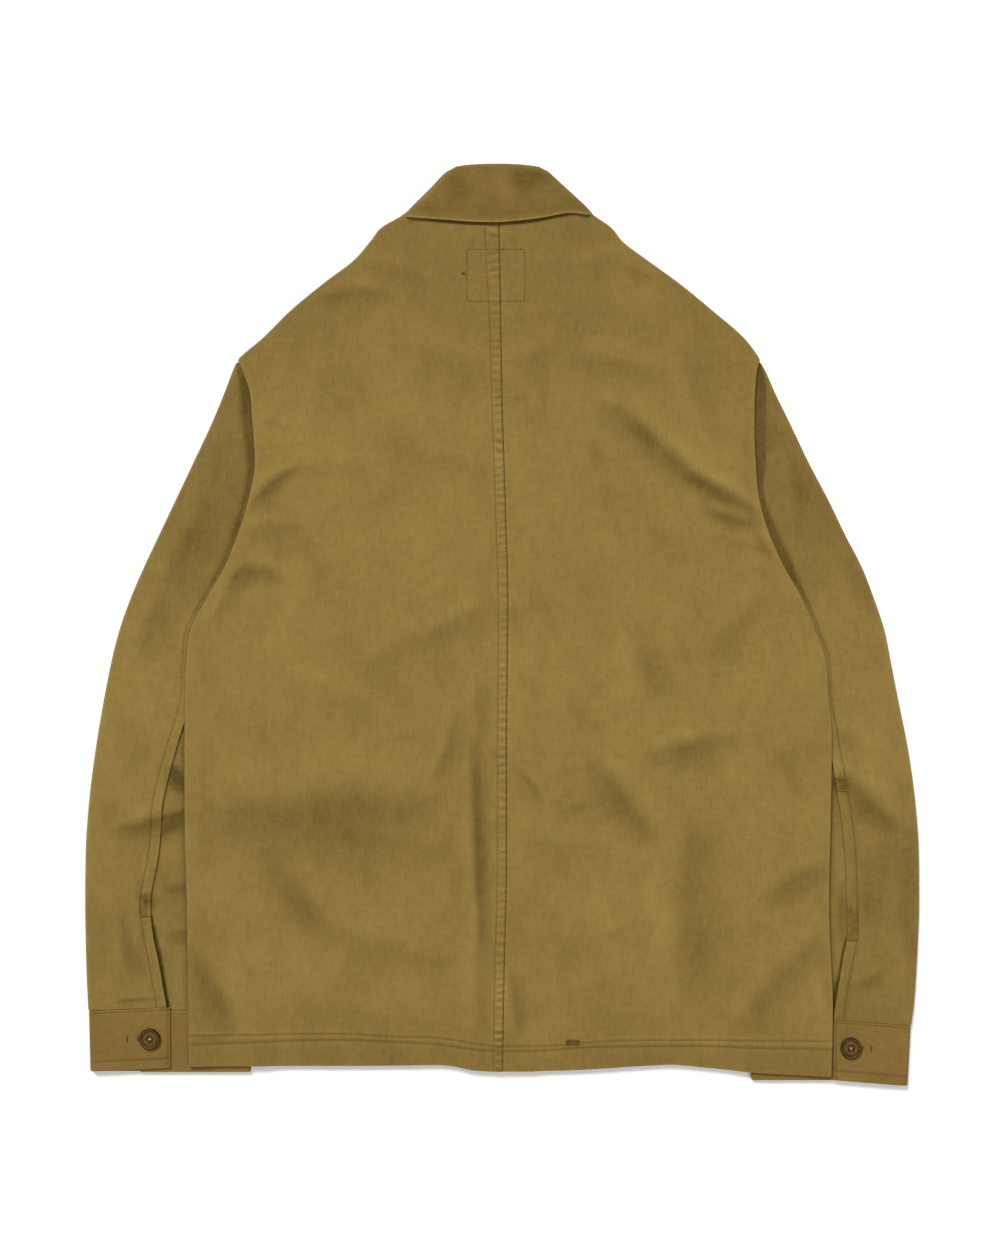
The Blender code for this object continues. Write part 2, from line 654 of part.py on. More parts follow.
# ---- buttons ----
def make_button(name, x, y, base, facing):
    """A turned button with a raised rim round a shallow dish."""
    edge, rim = BUTTON_RADIUS, BUTTON_RADIUS - BUTTON_RIM
    profile = (
        (edge - BUTTON_ROUND, 0.0),
        (edge, BUTTON_THICKNESS / 2),
        (edge - BUTTON_ROUND, BUTTON_THICKNESS),
        (rim, BUTTON_THICKNESS),
        (rim - BUTTON_ROUND, BUTTON_THICKNESS - BUTTON_DISH),
    )
    points = []
    for radius, height in profile:
        for step in range(BUTTON_SIDES):
            angle = 2 * math.pi * step / BUTTON_SIDES
            z = base + height if facing > 0 else base + BUTTON_THICKNESS - height
            points.append((x + radius * math.cos(angle), y + radius * math.sin(angle), z))
    triangles = []
    for ring in range(len(profile) - 1):
        for step in range(BUTTON_SIDES):
            after = (step + 1) % BUTTON_SIDES
            a, b = ring * BUTTON_SIDES + step, ring * BUTTON_SIDES + after
            c, d = a + BUTTON_SIDES, b + BUTTON_SIDES
            triangles += [(a, b, d), (a, d, c)]
    top = (len(profile) - 1) * BUTTON_SIDES
    for step in range(1, BUTTON_SIDES - 1):
        triangles.append((0, step + 1, step))
        triangles.append((top, top + step, top + step + 1))
    add_object(name, points, triangles, COLOURS["button"], BUTTON_ROUGHNESS)


def main():
    for old in list(bpy.data.objects):
        bpy.data.objects.remove(old, do_unlink=True)
    for side in (-1, 1):
        make_back(side)
        make_front(side)
        make_top_sleeve(side)
        make_under_sleeve(side)
    for name, cuff in CUFFS.items():
        make_cuff(name)
        distance, y = cuff["button"]
        make_button("cuff_button_" + name, cuff["side"] * distance, y, CUFF_LEVELS["over"] + SEAM, 1)
    make_collar("collar_top", TOP_COLLAR)
    make_collar("collar_under", UNDER_COLLAR)
    for number, y in enumerate(FRONT_BUTTON_YS, start=1):
        make_button(f"front_button_{number}", 0.0, y, 0.0, -1)


main()
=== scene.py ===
"""Khaki cotton drill work jacket, laid flat on its front so that its back, cuffs and collar show.

The tables hold millimetres. X runs across the jacket (the wearer's left is -X), Y up to the
collar and Z up from the surface that it lies on. Meshes are made in metres.
"""

import math

import bpy
import numpy as np
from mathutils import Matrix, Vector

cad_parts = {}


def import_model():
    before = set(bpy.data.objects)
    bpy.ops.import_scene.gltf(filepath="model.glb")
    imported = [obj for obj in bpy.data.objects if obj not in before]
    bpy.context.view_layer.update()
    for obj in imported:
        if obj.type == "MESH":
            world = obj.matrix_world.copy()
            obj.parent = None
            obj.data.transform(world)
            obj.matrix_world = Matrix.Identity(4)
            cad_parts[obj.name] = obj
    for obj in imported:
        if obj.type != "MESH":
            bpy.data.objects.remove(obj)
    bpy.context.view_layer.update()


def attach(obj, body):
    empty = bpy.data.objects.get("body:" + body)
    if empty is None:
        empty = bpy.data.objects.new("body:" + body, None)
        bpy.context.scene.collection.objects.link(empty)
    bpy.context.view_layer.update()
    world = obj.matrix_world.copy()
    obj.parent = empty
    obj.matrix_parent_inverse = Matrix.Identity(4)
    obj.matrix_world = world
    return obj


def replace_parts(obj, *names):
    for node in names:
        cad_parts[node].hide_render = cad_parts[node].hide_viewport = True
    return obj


MM = 0.001
LEFT, RIGHT = -1, 1

# ---- cloth and seams (millimetres) ----
BACK_CLOTH, FRONT_CLOTH, SLEEVE_CLOTH, COLLAR_CLOTH, CUFF_CLOTH = 1.0, 0.8, 1.0, 1.2, 2.0
SEAM = 0.3
CLEARANCE = 0.35  # least air between the back and the fronts under it
TUCK = 5.0
SLEEVE_LAP = 10.0
UNDER_SLEEVE_RETURN = 28.0

# Distances between a shell's lines of points: where it shows, where it is hidden, and close to a
# raw edge, which they round.
PANEL_STEP, ROW_STEP, HIDDEN_STEP = 2.9, 2.3, 6.0
RIM_STATIONS = np.array((0.0, 0.08, 0.25, 0.5, 0.8, 1.3))
EDGE_RUN = np.array((28.0, 25.5, 23.0, 20.5, 18.0, 15.5, 13.0, 10.5, 8.0, 5.5, 3.4, 1.6))
FELL_RUN, SLEEVE_RUN = 12.0, 60.0

FRONT_LAP = 20.0
FRONT_TOP_Y = 345.6
PLACKET_HALF, PLACKET_FADE = 24.0, 30.0
BUTTON_LIFT, LAP_LIFT = 2.9, 1.7
RAMP_HOLD, RAMP_FADE = 5.0, 34.0
EDGE_HOLD, EDGE_FADE = 3.0, 30.0
FRONT_EDGE_HOLD, FRONT_EDGE_FADE = 12.0, 12.0

BODY_FOOT, NECK_SEAM_Y = -377.0, 356.0
SLEEVE_FOOT, SLEEVE_TOP, UNDER_SLEEVE_TOP = -327.0, 223.0, 50.0
HEM_FOLLOW, CUFF_FOLLOW = 60.0, 50.0

FELL_WIDTH = 8.6  # from a felled seam's edge to its second row of stitches
FELL_RISE = 0.45
STITCH = 2.6  # about ten stitches to the inch
THREAD = 0.34  # radius
GROOVE, GROOVE_HALF = 0.42, 1.0

NECK_CENTRE_Z = 6.5
TOP_COLLAR = {"stand": 0.7, "fall": 6.5, "drop": 0.0}
UNDER_COLLAR = {"stand": 2.2, "fall": 4.9, "drop": 0.8}
COLLAR_REACH = TOP_COLLAR["fall"]
COLLAR_TURN = (TOP_COLLAR["fall"] - TOP_COLLAR["stand"]) / 2
COLLAR_TOP_Y, COLLAR_LOW_Y = 384.0, 347.0
COLLAR_CORNER = 2.5  # how much lower the fold lies at both sides
COLLAR_SLIP = 2.2  # how far the fall has slid towards the hem
COLLAR_TUCK = 4.0  # how far the under ply stops short of the top ply's edge
COLLAR_END_X, COLLAR_SPREAD = 2.0, 36.0
COLLAR_BREAK_Y, COLLAR_POINT_Y = 285.0, 212.0
COLLAR_LIFT, COLLAR_LIFT_HOLD, COLLAR_LIFT_FADE = 3.3, 6.0, 44.0

BUTTON_SIDES = 64
BUTTON_THICKNESS = 2.6
HOLE_RADIUS, HOLE_APART = 1.15, 2.2
FRONT_BUTTON_YS = (240.0, 112.0, -16.0, -144.0, -272.0)


def table(names, rows):
    """Columns of numbers by name."""
    return dict(zip(names.split(), np.array(rows, dtype=float).T))


# Distances of the body's edges from the middle.
BODY_OUTLINE = table("y left right", (
    (-380, 266, 279.8), (-327, 266.7, 281.2), (-240, 267.8, 278.1), (-150, 269.8, 279.7),
    (-94, 269.7, 280.5), (-60, 269.4, 277.5), (-30, 268.3, 275), (-5, 265, 266.6),
    (22, 251.4, 255.2), (50, 235.4, 239.5), (75, 225.4, 228.3), (105, 216.2, 219.5),
    (138, 210.4, 216.2), (172, 212.5, 215.1), (200, 215.3, 215.7), (218, 221.6, 217.6),
    (225, 224.6, 219.4), (229, 220.8, 217.2), (242, 205.6, 207.6), (268, 178.8, 177.9),
    (292, 149.2, 148.2), (310, 125.4, 123), (325, 112.2, 102.9), (338, 101, 91.7), (346, 87, 80),
    (356, 73.4, 67.5),
))
# Heights of outer faces at the body's edge, how far the back rolls down there, and whether the
# front rolls up to meet it.
STACK = table("y front front_edge back_edge back roll meet", (
    (-377, 5, 5, 8.4, 5.6, 1.55, 1), (-327, 5, 5, 8.4, 5.6, 1.55, 1),
    (-285, 4.2, 4.9, 8, 5.6, 1.4, 1), (-240, 3.5, 4.9, 7.9, 5.6, 1.35, 1),
    (-30, 3.5, 4.9, 7.9, 5.6, 1.35, 1), (-5, 3.5, 4.9, 7.5, 5.6, 1.4, 0),
    (75, 3.5, 4.9, 7.1, 5.6, 1.5, 0), (105, 1.5, 1.5, 6.6, 5.6, 1.6, 0),
    (224, 1.5, 1.5, 6.4, 6, 1.4, 0), (242, 1.5, 1.5, 6.8, 6.2, 2.5, 1),
    (268, 1.8, 1.8, 7.4, 6.8, 2.65, 1), (292, 2.2, 2.2, 8, 7.6, 2.75, 1),
    (318, 2.8, 2.8, 8.9, 8.6, 2.9, 1), (338, 3.3, 3.3, 9.7, 9.5, 3.05, 1),
    (356, 3.3, 3.3, 9.7, 9.7, 3.05, 1),
))
FRONT_INSET = table("y inset", (
    (-30, 0), (-5, 2.5), (22, 4), (50, 5), (75, 8), (105, 9), (200, 9), (224, 4), (242, 0),
))
SLEEVES = table("y outer_left seam_left fold_left outer_right seam_right fold_right", (
    (-392, 350.7, 282, 215.4, 345.2, 283.5, 212.5), (-327, 352.3, 284.8, 208, 348.6, 282, 206),
    (-309, 353.3, 287.9, 206, 351.4, 284.6, 205), (-285, 354.3, 292, 203, 353.6, 289.8, 203),
    (-262, 354.9, 297, 200, 354.8, 293.9, 200.4), (-240, 355.2, 299.3, 197, 355.5, 293.7, 198),
    (-195, 354.8, 292.2, 192, 355.2, 292.2, 193), (-150, 351.8, 288.4, 188, 352.1, 286.9, 189),
    (-105, 346.1, 277.1, 185, 345.8, 279, 187), (-60, 338.5, 264.4, 184, 336.8, 271.5, 186),
    (-30, 332.5, 263.3, 184, 331, 269.8, 187), (-5, 326.1, 260, 187, 326, 261.6, 190),
    (22, 316.6, 246.4, 190, 317.1, 250.2, 194), (50, 304.6, 230.4, 194, 306.2, 234.5, 199),
    (75, 292.8, 220.4, 200, 293.2, 223.3, 203), (105, 278.6, 211.2, 202, 278.7, 214.5, 205),
    (138, 263, 205.4, 196.4, 261.4, 211.2, 202.2), (172, 247.1, 207.5, 198.5, 245.2, 210.1, 201.1),
    (200, 235.6, 210.3, 201.3, 231.6, 210.7, 201.7), (216, 229.6, 216.4, 209.3, 224.6, 212.3, 205),
    (223, 226.6, 219.5, 212.4, 220.8, 212.4, 206),
))
SLEEVE_LEVELS = table("y under over outer puff", (
    (-327, 4.1, 6.4, 6.4, 0.3), (-285, 3.5, 5.3, 5.4, 1), (-240, 3, 4.5, 5, 1.6),
    (75, 3, 4.5, 5, 1.6), (172, 3, 4.5, 5, 1.2), (223, 3, 4.2, 4.2, 0.1),
))
# How the sleeve dips beside the back's edge.
VALLEYS = table("y width_left depth_left width_right depth_right", (
    (-120, 4, 0, 4, 0), (-20, 4, 0.3, 4, 0.4), (30, 5, 0.6, 6, 0.9), (60, 6, 0.9, 8.5, 1.6),
    (85, 6, 0.9, 7, 1.2), (110, 5.5, 0.9, 4, 1), (140, 6.5, 1.7, 7.5, 2), (170, 8, 2.2, 8.5, 2.3),
    (195, 8, 2.2, 8.5, 2.3), (212, 5, 1.4, 6, 1.5), (223, 2, 0.4, 2, 0.4),
))
VENT_TOPS = {LEFT: -248.0, RIGHT: -268.0}
VENT_LIFT = {LEFT: 1.2, RIGHT: 0.7}
GAPS = {LEFT: (-262.0, 2.6), RIGHT: (-311.0, 3.4)}  # where the opening gapes: top and width
TACKS = {  # reinforced patches: middle and half width from the seam's edge, low, high and how dark
    LEFT: ((6.4, 2.6, -247.0, -230.0, 0.5), (2.5, 3.0, -236.0, -228.0, 0.3)),
    RIGHT: ((4.6, 4.6, -266.0, -242.0, 0.45), (4.6, 4.6, -140.0, -132.0, 0.4)),
}
BAR_TACKS = {LEFT: (-248.0,), RIGHT: (-268.0, -141.5, -131.0)}

CUFFS = {
    LEFT: {
        "lap_end": 282.0, "outer": 351.0, "fold": 214.0, "underlap_end": 308.0,
        "top": (-325.6, -328.6), "bottom": (-377.0, -380.0), "hidden_bottom": -381.0,
        "button": (298.7, -351.8), "button_turn": 2, "hole_end": 317.9, "slant": 0.6,
    },
    RIGHT: {
        "lap_end": 282.0, "outer": 346.6, "fold": 212.5, "underlap_end": 309.0,
        "top": (-336.2, -341.3), "bottom": (-387.4, -392.3), "hidden_bottom": -388.0,
        "button": (296.1, -359.6), "button_turn": 42, "hole_end": 313.0, "slant": 1.3,
    },
}
CUFF_UNDER, CUFF_OVER = 4.6, 7.0
CUFF_HEM_ROW, CUFF_EDGE_ROW = 8.3, 1.8

# The hem's edge and its two rows of stitches.
HEM = table("x y upper lower", (
    (-266, -375.3, -348.9, -356.8), (-137, -375.3, -348.1, -353.4), (-87, -375, -350.6, -355.2),
    (-53, -374.6, -351.6, -357.4), (-22, -379, -356.2, -361.4), (2, -379.8, -358.3, -362.4),
    (37, -379.6, -358.3, -362), (67, -378.7, -355.7, -359.8), (116, -375.6, -353.6, -358.8),
    (143, -374.4, -353.4, -358.6), (175, -377, -353.4, -358.8), (211, -380.4, -353.5, -359.6),
    (276, -383.8, -353.6, -360.8),
))
CENTRE_BACK = table("y x width", (
    (-380, 0.5, 8), (-300, 1.8, 8), (-200, 4, 7.9), (-110, 4, 7.8), (20, 5.1, 8.4), (100, 3, 8.6),
    (200, 0, 8.9), (275, -1.2, 10.2), (318, -2, 11.9), (356, -2.8, 12.2),
))
COLLAR_SIDES = table("y left right", (
    (347, 83.8, 79), (355, 76.8, 71.8), (363.4, 68.2, 62.9), (372, 59.6, 53.4), (381, 51.4, 43.8),
    (386.3, 45.4, 38.1),
))
COLLAR_EDGES = table("x fold edge", (
    (-78, 389.2, 346.6), (-43, 389.2, 344), (-33, 390.5, 343.2), (-23, 391.2, 342.6),
    (-6, 391.6, 342.4), (12, 391.3, 343.6), (26, 390.2, 345), (35, 389, 346.4), (49, 388.8, 348.9),
    (62, 388.8, 350.4), (73, 388.8, 348.6),
))
COLLAR_FRONT = table("across seam fold edge", (
    (0.02, 268, 298, 212), (0.24, 292, 324, 240), (0.45, 318, 348, 270), (0.65, 338, 364, 302),
    (0.8, 346, 374, 324), (1, 356, 386.5, 346.6),
))
COLLAR_FOOTPRINT = table("x y", (
    (66, 212), (78, 240), (85, 270), (88, 300), (91, 318), (112, 347),
))
NECK_PATCH = ((-29.8, 274.5), (19.2, 274.5), (19.2, 318.3), (-29.8, 318.3), (-29.8, 274.5))
KNOTS = ((-32.7, 298.0, 1.6, 8), (60.4, -355.7, 6.0, 44))  # x, y, reach and number of turns

# Creases: x and y of both ends, how far the middle bows towards the light, half width, and depth
# (a rise where it is negative).
BACK_CREASES = (
    # shoulders
    (-162, 274, -88, 277, 6.8, 4.2, 0.97), (-116, 306, -56, 290, 0.8, 5.1, 0.6),
    (-144, 255, -162, 148, 0, 7.6, 0.36), (-95, 242, -2, 213, 0, 8.5, 0.48),
    (-95, 178, -65, 136, 0, 7.6, 0.36), (-70, 144, -2, 130, 0, 6, 0.42),
    (58, 303, 105, 308, 0.8, 6, 0.48), (99, 305, 130, 290, 0.8, 4.2, 0.6),
    (3, 257, 49, 266, 0, 3.4, 0.42), (3, 221, 58, 236, 0, 5.1, 0.48),
    (49, 227, 139, 211, 2.5, 6.8, 0.97), (-2, 191, 39, 198, 0, 2.5, 0.36),
    (154, 238, 187, 144, 5.1, 6, 0.73), (-91, 339, -65, 340, 0.8, 4.2, 0.48),
    (-31, 324, -15, 328, 0, 2.5, 0.42), (3, 324, 14, 329, 0, 2.5, 0.42),
    # right armhole
    (80, 190, 138, 156, 2, 6.5, 1.09), (112, 173, 180, 116, -2, 6, 1.9),
    (154, 130, 223, 91, 1.5, 4.6, 2.4), (170, 100, 225, 86, -3, 3.8, 1.8),
    (216, 81, 231, 52, 0.8, 2.6, 1.3), (170, 72, 226, 61, 5, 3, 0.42),
    (198, 45, 235, 50, -1.7, 4.2, 0.42), (226, 28, 168, -37, 2.5, 6.8, 0.73),
    (5, 85, 24, 79, 0, 2.5, 0.42),
    # left armhole
    (-215, 95, -170, 134, 6.5, 3.6, 1.8), (-184, 133, -105, 130, 2, 5.1, 0.42),
    (-220, 80, -166, 82, 1.5, 5, 0.85), (-235, 39, -184, 37, 9.3, 5.1, 1.7),
    (-226, 45, -246, 0, -0.8, 5.1, 0.85), (-176, 72, -146, 4, 0, 8.5, 0.36),
    # middle
    (-65, -13, -13, 18, 0, 6, 0.85), (-125, -40, -27, -3, 5.1, 7.6, 0.6),
    (-184, -50, -110, -73, 0, 8.5, 0.48), (-40, -71, -60, -136, -4.2, 4.2, 1.2),
    (-22, -37, -19, -108, 0, 3.4, 0.73), (-26, -92, -19, -274, 0, 4, 2.2),
    (-18, -235, -21, -345, 0, 5.4, 1), (54, -56, 68, -98, 0, 4.2, 0.42),
    (110, 2, 134, -70, 3.4, 8, 1),
    # lower left
    (-258, -160, -48, -150, 1.7, 19, 1.6), (-138, -176, -36, -192, -2.5, 7.6, 0.6),
    (-204, -185, -133, -272, -4.2, 10.5, 1.26), (-146, -264, -36, -292, 0, 9.3, 0.6),
    (-268, -272, -226, -350, 5, 8, 1.6), (-180, -323, -44, -342, 0, 7.6, 0.36),
    # lower right
    (120, -114, 204, -95, 0.8, 6.8, 1.5), (79, -112, 133, -186, -1.7, 8, 1.58),
    (8, -118, 38, -156, 3, 2.6, 1.1), (47, -160, 83, -152, 0, 4.2, 0.55),
    (11, -181, 75, -193, 0, 7.6, 0.48), (160, -160, 156, -330, 1.7, 12.5, 1.4),
    (211, -77, 224, -119, 0, 3.4, 0.42), (230, -102, 251, -149, 0.8, 4.2, 0.67),
    (219, -236, 282, -203, 3.4, 6.8, 1.33), (270, -262, 196, -344, 2.5, 8, 1.3),
    (4, -290, 14, -350, -1, 4.4, 1.4), (3, -247, 37, -272, 0, 6.8, 0.36),
    (173, -326, 230, -334, -6, 6.8, 0.55), (269, -277, 280, -329, 1.7, 5.1, 0.55),
    (-265, -349.5, -232, -350, 0, 1.6, 0.97), (2, -356.5, 26, -355.5, 0, 1.6, 0.48),
)
SLEEVE_CREASES = (
    # left
    (-243, 154, -246, 114, 0, 2.5, 0.43), (-246, 116, -300, -3, 1.7, 8.5, 1),
    (-294, 21, -309, -44, 0, 6.8, 0.9), (-335, -74, -309, -142, 0, 8.5, 0.62),
    (-334, -177, -262, -157, -1.7, 6, 2.11), (-348, -149, -312, -168, 0, 9.3, 0.74),
    (-311, -212, -308, -290, -2, 2.6, 0.9), (-322, -240, -319, -300, 1.5, 3, 0.6),
    (-305, -230, -301, -247, 0, 3, 1.23), (-280, -119, -265, -142, 0, 5.1, 1.48),
    (-305, -190, -310, -266, -2.5, 2.5, -0.74), (-326, -237, -317, -308, 0, 4.2, 0.55),
    (-315, -271, -300, -300, 0, 5.1, 0.62), (-331, -321, -293, -318, 0, 1.9, 1),
    (-291, -226, -265, -221, 0, 4.2, 0.74), (-288, -266, -264, -261, 0, 5.1, 0.62),
    # right
    (224, 174, 246, 153, 0, 6, 0.62), (242, 147, 251, 76, -4.2, 4.2, 0.74),
    (289, 58, 318, -4, 0, 7, 0.9), (289, -123, 341, -178, -1.7, 6.8, 2.1),
    (280, -134, 298, -130, 0, 6, 1.23), (281, -91, 308, -100, 0, 6, 0.74),
    (342, -162, 346, -319, 0, 5.1, 0.49), (309, -198, 309, -281, 0, 3.4, 0.55),
    (297, -306, 326, -293, -3.4, 3.4, 1.1), (287, -217, 288, -272, 0, 2.5, 0.74),
)
COLLAR_CREASES = (
    (8, 394, 22, 358, 2, 9, 1.3), (24, 393, 36, 374, 0, 5, 0.7), (-62, 360, -64, 347, 0, 3, 0.35),
    (24, 362, 24, 346, 0, 3, 0.5), (58, 360, 60, 348, 0, 4, 0.35),
    (-46, 380, -21, 364, 0, 6.8, 0.6), (14, 368, 12, 346, 0, 3.4, 0.35),
    (-48, 363, -47, 346, 0, 4.2, 0.3), (-75, 363, -77, 346, 0, 4.2, 0.3),
    (-11, 392, -10, 347, 0, 3.4, 0.2),
)
# The tone column is paleness where the rim rubs, and painted shade round the outer wall, in the groove and
# beside the holes.
BUTTON_PROFILE = table("radius height tone", (
    (0, 0, 0), (6.2, 0, 0), (8.2, 0.35, -0.8), (8.9, 0.95, -0.9), (9, 1.5, -0.9), (8.8, 2.1, -0.9),
    (8.3, 2.5, -0.6), (7.8, 2.6, 0.05), (7.3, 2.5, 0.1), (6.9, 2.1, -0.2), (6.6, 1.7, -0.4),
    (6.2, 1.5, -0.3), (5.8, 1.7, 0), (5.2, 1.85, 0.1), (4.4, 1.85, 0.1), (3.4, 1.7, 0),
    (2.4, 1.55, -0.4), (1.2, 1.5, -0.5), (0, 1.5, 0),
))


# ---- curves ----
def curve(table, name, at, key=None):
    """A column's value at places in the first column, or in the one that key names, on a smooth
    line through the rows that doesn't overshoot."""
    xs, ys = table[key or next(iter(table))], table[name]
    step = np.diff(xs)
    slope = np.diff(ys) / step
    mean = (slope[:-1] * step[1:] + slope[1:] * step[:-1]) / (step[:-1] + step[1:])
    most = 3 * np.minimum(np.abs(slope[:-1]), np.abs(slope[1:]))
    inner = np.where(slope[:-1] * slope[1:] <= 0, 0.0, np.clip(mean, -most, most))
    tangent = np.concatenate([slope[:1], inner, slope[-1:]])
    at = np.clip(at, xs[0], xs[-1])
    i = np.clip(np.searchsorted(xs, at, side="right") - 1, 0, len(step) - 1)
    t, h = (at - xs[i]) / step[i], step[i]
    start = (1 + 2 * t) * (1 - t) ** 2 * ys[i] + t * (1 - t) ** 2 * h * tangent[i]
    stop = t**2 * (3 - 2 * t) * ys[i + 1] + t**2 * (t - 1) * h * tangent[i + 1]
    return start + stop


def side_name(side):
    return "left" if side < 0 else "right"


def body_edge(side, y):
    return curve(BODY_OUTLINE, side_name(side), y)


def sleeve_line(line, side, y):
    return curve(SLEEVES, f"{line}_{side_name(side)}", y)


def from_centre(x, y):
    """How far left of the centre seam a place lies, and how wide the seam is felled."""
    return curve(CENTRE_BACK, "x", y) - x, curve(CENTRE_BACK, "width", y)


def fade(distance, hold, width):
    """1 up to hold, then softly down to 0 over width."""
    t = np.clip((hold + width - np.asarray(distance, dtype=float)) / width, 0.0, 1.0)
    return t * t * (3 - 2 * t)


def bell(distance, width):
    """1 in the middle, softly down to 0 at both sides."""
    return np.exp(-((distance / width) ** 2))


def higher(a, b, soft=1.2):
    """The larger of two heights, with a rounded corner where they cross."""
    mix = np.clip(0.5 + 0.5 * (a - b) / soft, 0.0, 1.0)
    return b + (a - b) * mix + soft * mix * (1 - mix)


def stations(length, step, fine=()):
    """Distances from 0 to length: step apart, closer at both ends and over the fine stretches."""
    coarse = np.linspace(0.0, length, max(3, round(length / step) + 1))
    rim = RIM_STATIONS[-1]
    runs = [RIM_STATIONS, length - RIM_STATIONS]
    keep = (coarse > rim + 0.4 * step) & (coarse < length - rim - 0.4 * step)
    for start, stop, small in fine:
        runs.append(np.arange(max(start, rim + small), min(stop, length - rim - small), small))
        keep &= (coarse < start - 0.4 * step) | (coarse > stop + 0.4 * step)
    return np.unique(np.round(np.concatenate([coarse[keep], *runs]), 4))


# ---- surface relief ----
LIGHT = (-0.45, 0.89)  # the way to the key light, seen from above


def creases(rows, x, y):
    """Height that creases add: each one falls steeply on the side towards the light, rises gently
    on the other, and heaps a little cloth up beyond the steep side."""
    total = np.zeros(np.broadcast(x, y).shape)
    for x0, y0, x1, y1, bow, width, depth in rows:
        half = math.hypot(x1 - x0, y1 - y0) / 2
        run = ((x1 - x0) / half / 2, (y1 - y0) / half / 2)
        lit = run[0] * LIGHT[1] - run[1] * LIGHT[0] > 0
        aside = (-run[1], run[0]) if lit else (run[1], -run[0])
        from_x, from_y = x - (x0 + x1) / 2, y - (y0 + y1) / 2
        reach = np.clip(1 - ((from_x * run[0] + from_y * run[1]) / half) ** 2, 0.0, 1.0)
        across = from_x * aside[0] + from_y * aside[1]
        across = (across - bow * reach) / (width * (0.6 + 0.4 * reach)) + 0.4
        trough = bell(across, np.where(across > 0, 1.0, 2.2))
        total -= depth * reach**0.8 * (trough - 0.3 * bell(across - 2.1, 1.2))
    return total


def small_creases(seed, count, left, right, low, high):
    """Short shallow creases of washed cloth, placed by chance over an area."""
    chance = np.random.default_rng(seed)
    rows = []
    for _ in range(count):
        x, y, heading = (chance.uniform(*ends) for ends in ((left, right), (low, high), (0, math.pi)))
        half = chance.uniform(5.0, 16.0)
        run_x, run_y = half * math.cos(heading), half * math.sin(heading)
        shape = (chance.uniform(*ends) for ends in ((-2.5, 2.5), (2.4, 4.0), (0.1, 0.38)))
        rows.append((x - run_x, y - run_y, x + run_x, y + run_y, *shape))
    return rows


RIPPLES = 26


def ripples(x, y, seed, waves, slope):
    """Soft unevenness of washed cloth: waves of mixed length and direction, stronger in patches."""
    chance = np.random.default_rng(seed)
    total = np.zeros(np.broadcast(x, y).shape)
    for _ in range(RIPPLES):
        wave = waves[0] * (waves[1] / waves[0]) ** chance.random()
        heading, phase = chance.random(2) * 2 * math.pi
        run = 2 * math.pi * (x * math.cos(heading) + y * math.sin(heading)) / wave
        total += wave / (2 * math.pi) * np.sin(run + phase)
    patch = 0.65 + 0.35 * np.sin(x / 61.0 + seed) * np.sin(y / 83.0 + 2 * seed)
    return slope * patch * total / math.sqrt(RIPPLES / 2)


def puckers(along, across, seed, pitch, depth, reach):
    """Ladder of small folds that a row of stitches draws up across itself."""
    wander = 2.0 * np.sin(along / 23.0 + seed) + 1.2 * np.sin(along / 9.7 + 3 * seed + across / 7.0)
    patch = (0.75 + 0.25 * np.sin(along / 37.0 + 2 * seed)) * (0.85 + 0.3 * np.sin(along / 6.1 + seed))
    return depth * patch * np.sin(2 * math.pi * along / pitch + wander) * bell(across, reach)


def groove(across):
    return -GROOVE * bell(across, GROOVE_HALF)


def row_shade(*distances):
    """How dark the cloth is where its rows of stitches draw it in."""
    return 0.36 * sum(bell(across, 0.9) for across in distances)


BACK_CRINKLES = small_creases(21, 110, -260.0, 260.0, -335.0, 310.0)
SLEEVE_CRINKLES = small_creases(22, 34, -345.0, -215.0, -320.0, 190.0)
SLEEVE_CRINKLES += small_creases(23, 34, 215.0, 345.0, -320.0, 190.0)


# ---- heights of the body ----
def front_height(side, distance, y):
    """Height of a front's outer face, which looks down."""
    edge = body_edge(side, y)
    inside = edge - distance
    reach = np.where(y > SLEEVE_TOP, 0.0, edge - sleeve_line("fold", side, y))
    reach = np.maximum(reach + RAMP_HOLD, FRONT_EDGE_HOLD)
    over_sleeve = curve(STACK, "front", y) * fade(inside, reach, RAMP_FADE)
    at_edge = curve(STACK, "front_edge", y) * fade(inside, FRONT_EDGE_HOLD, FRONT_EDGE_FADE)
    at_placket = fade(np.abs(distance), PLACKET_HALF, PLACKET_FADE)
    below = curve(COLLAR_FOOTPRINT, "y", distance) - y
    over_collar = COLLAR_LIFT * fade(below, COLLAR_LIFT_HOLD, COLLAR_LIFT_FADE)
    level = np.maximum(np.maximum(over_sleeve, at_edge), BUTTON_LIFT * at_placket)
    return np.maximum(level, over_collar) + (LAP_LIFT * at_placket if side > 0 else 0.0)


def hem_relief(x, y):
    """The hem is turned up twice, so it is thicker up to its two rows of stitches."""
    upper, lower = (curve(HEM, row, x) for row in ("upper", "lower"))
    turned = 0.4 * fade(y - upper, 0.8, 2.6) + 0.35 * bell(y - (upper + lower) / 2, 2.0)
    drawn = puckers(x, y - lower, 5, 7.3, 0.16, 6.0) + puckers(x, y - lower + 9.0, 9, 15.0, 0.35, 9.0)
    return turned + groove(y - upper) + groove(y - lower) + drawn


def centre_ladder(x, y):
    """Small folds that the stitches draw up across the felled seam."""
    across, width = from_centre(x, y)
    return puckers(y, across - 0.42 * width, 2, 6.9, 0.42, 0.5 * width)


def centre_relief(x, y):
    """The centre seam is felled to the left, with a crack at its edge and a groove at its row."""
    across, width = from_centre(x, y)
    felled = FELL_RISE * fade(across, width + 0.4, 2.0) * (across > 0)
    return felled + centre_ladder(x, y) + groove(across - width) - 0.4 * bell(across, 1.0)


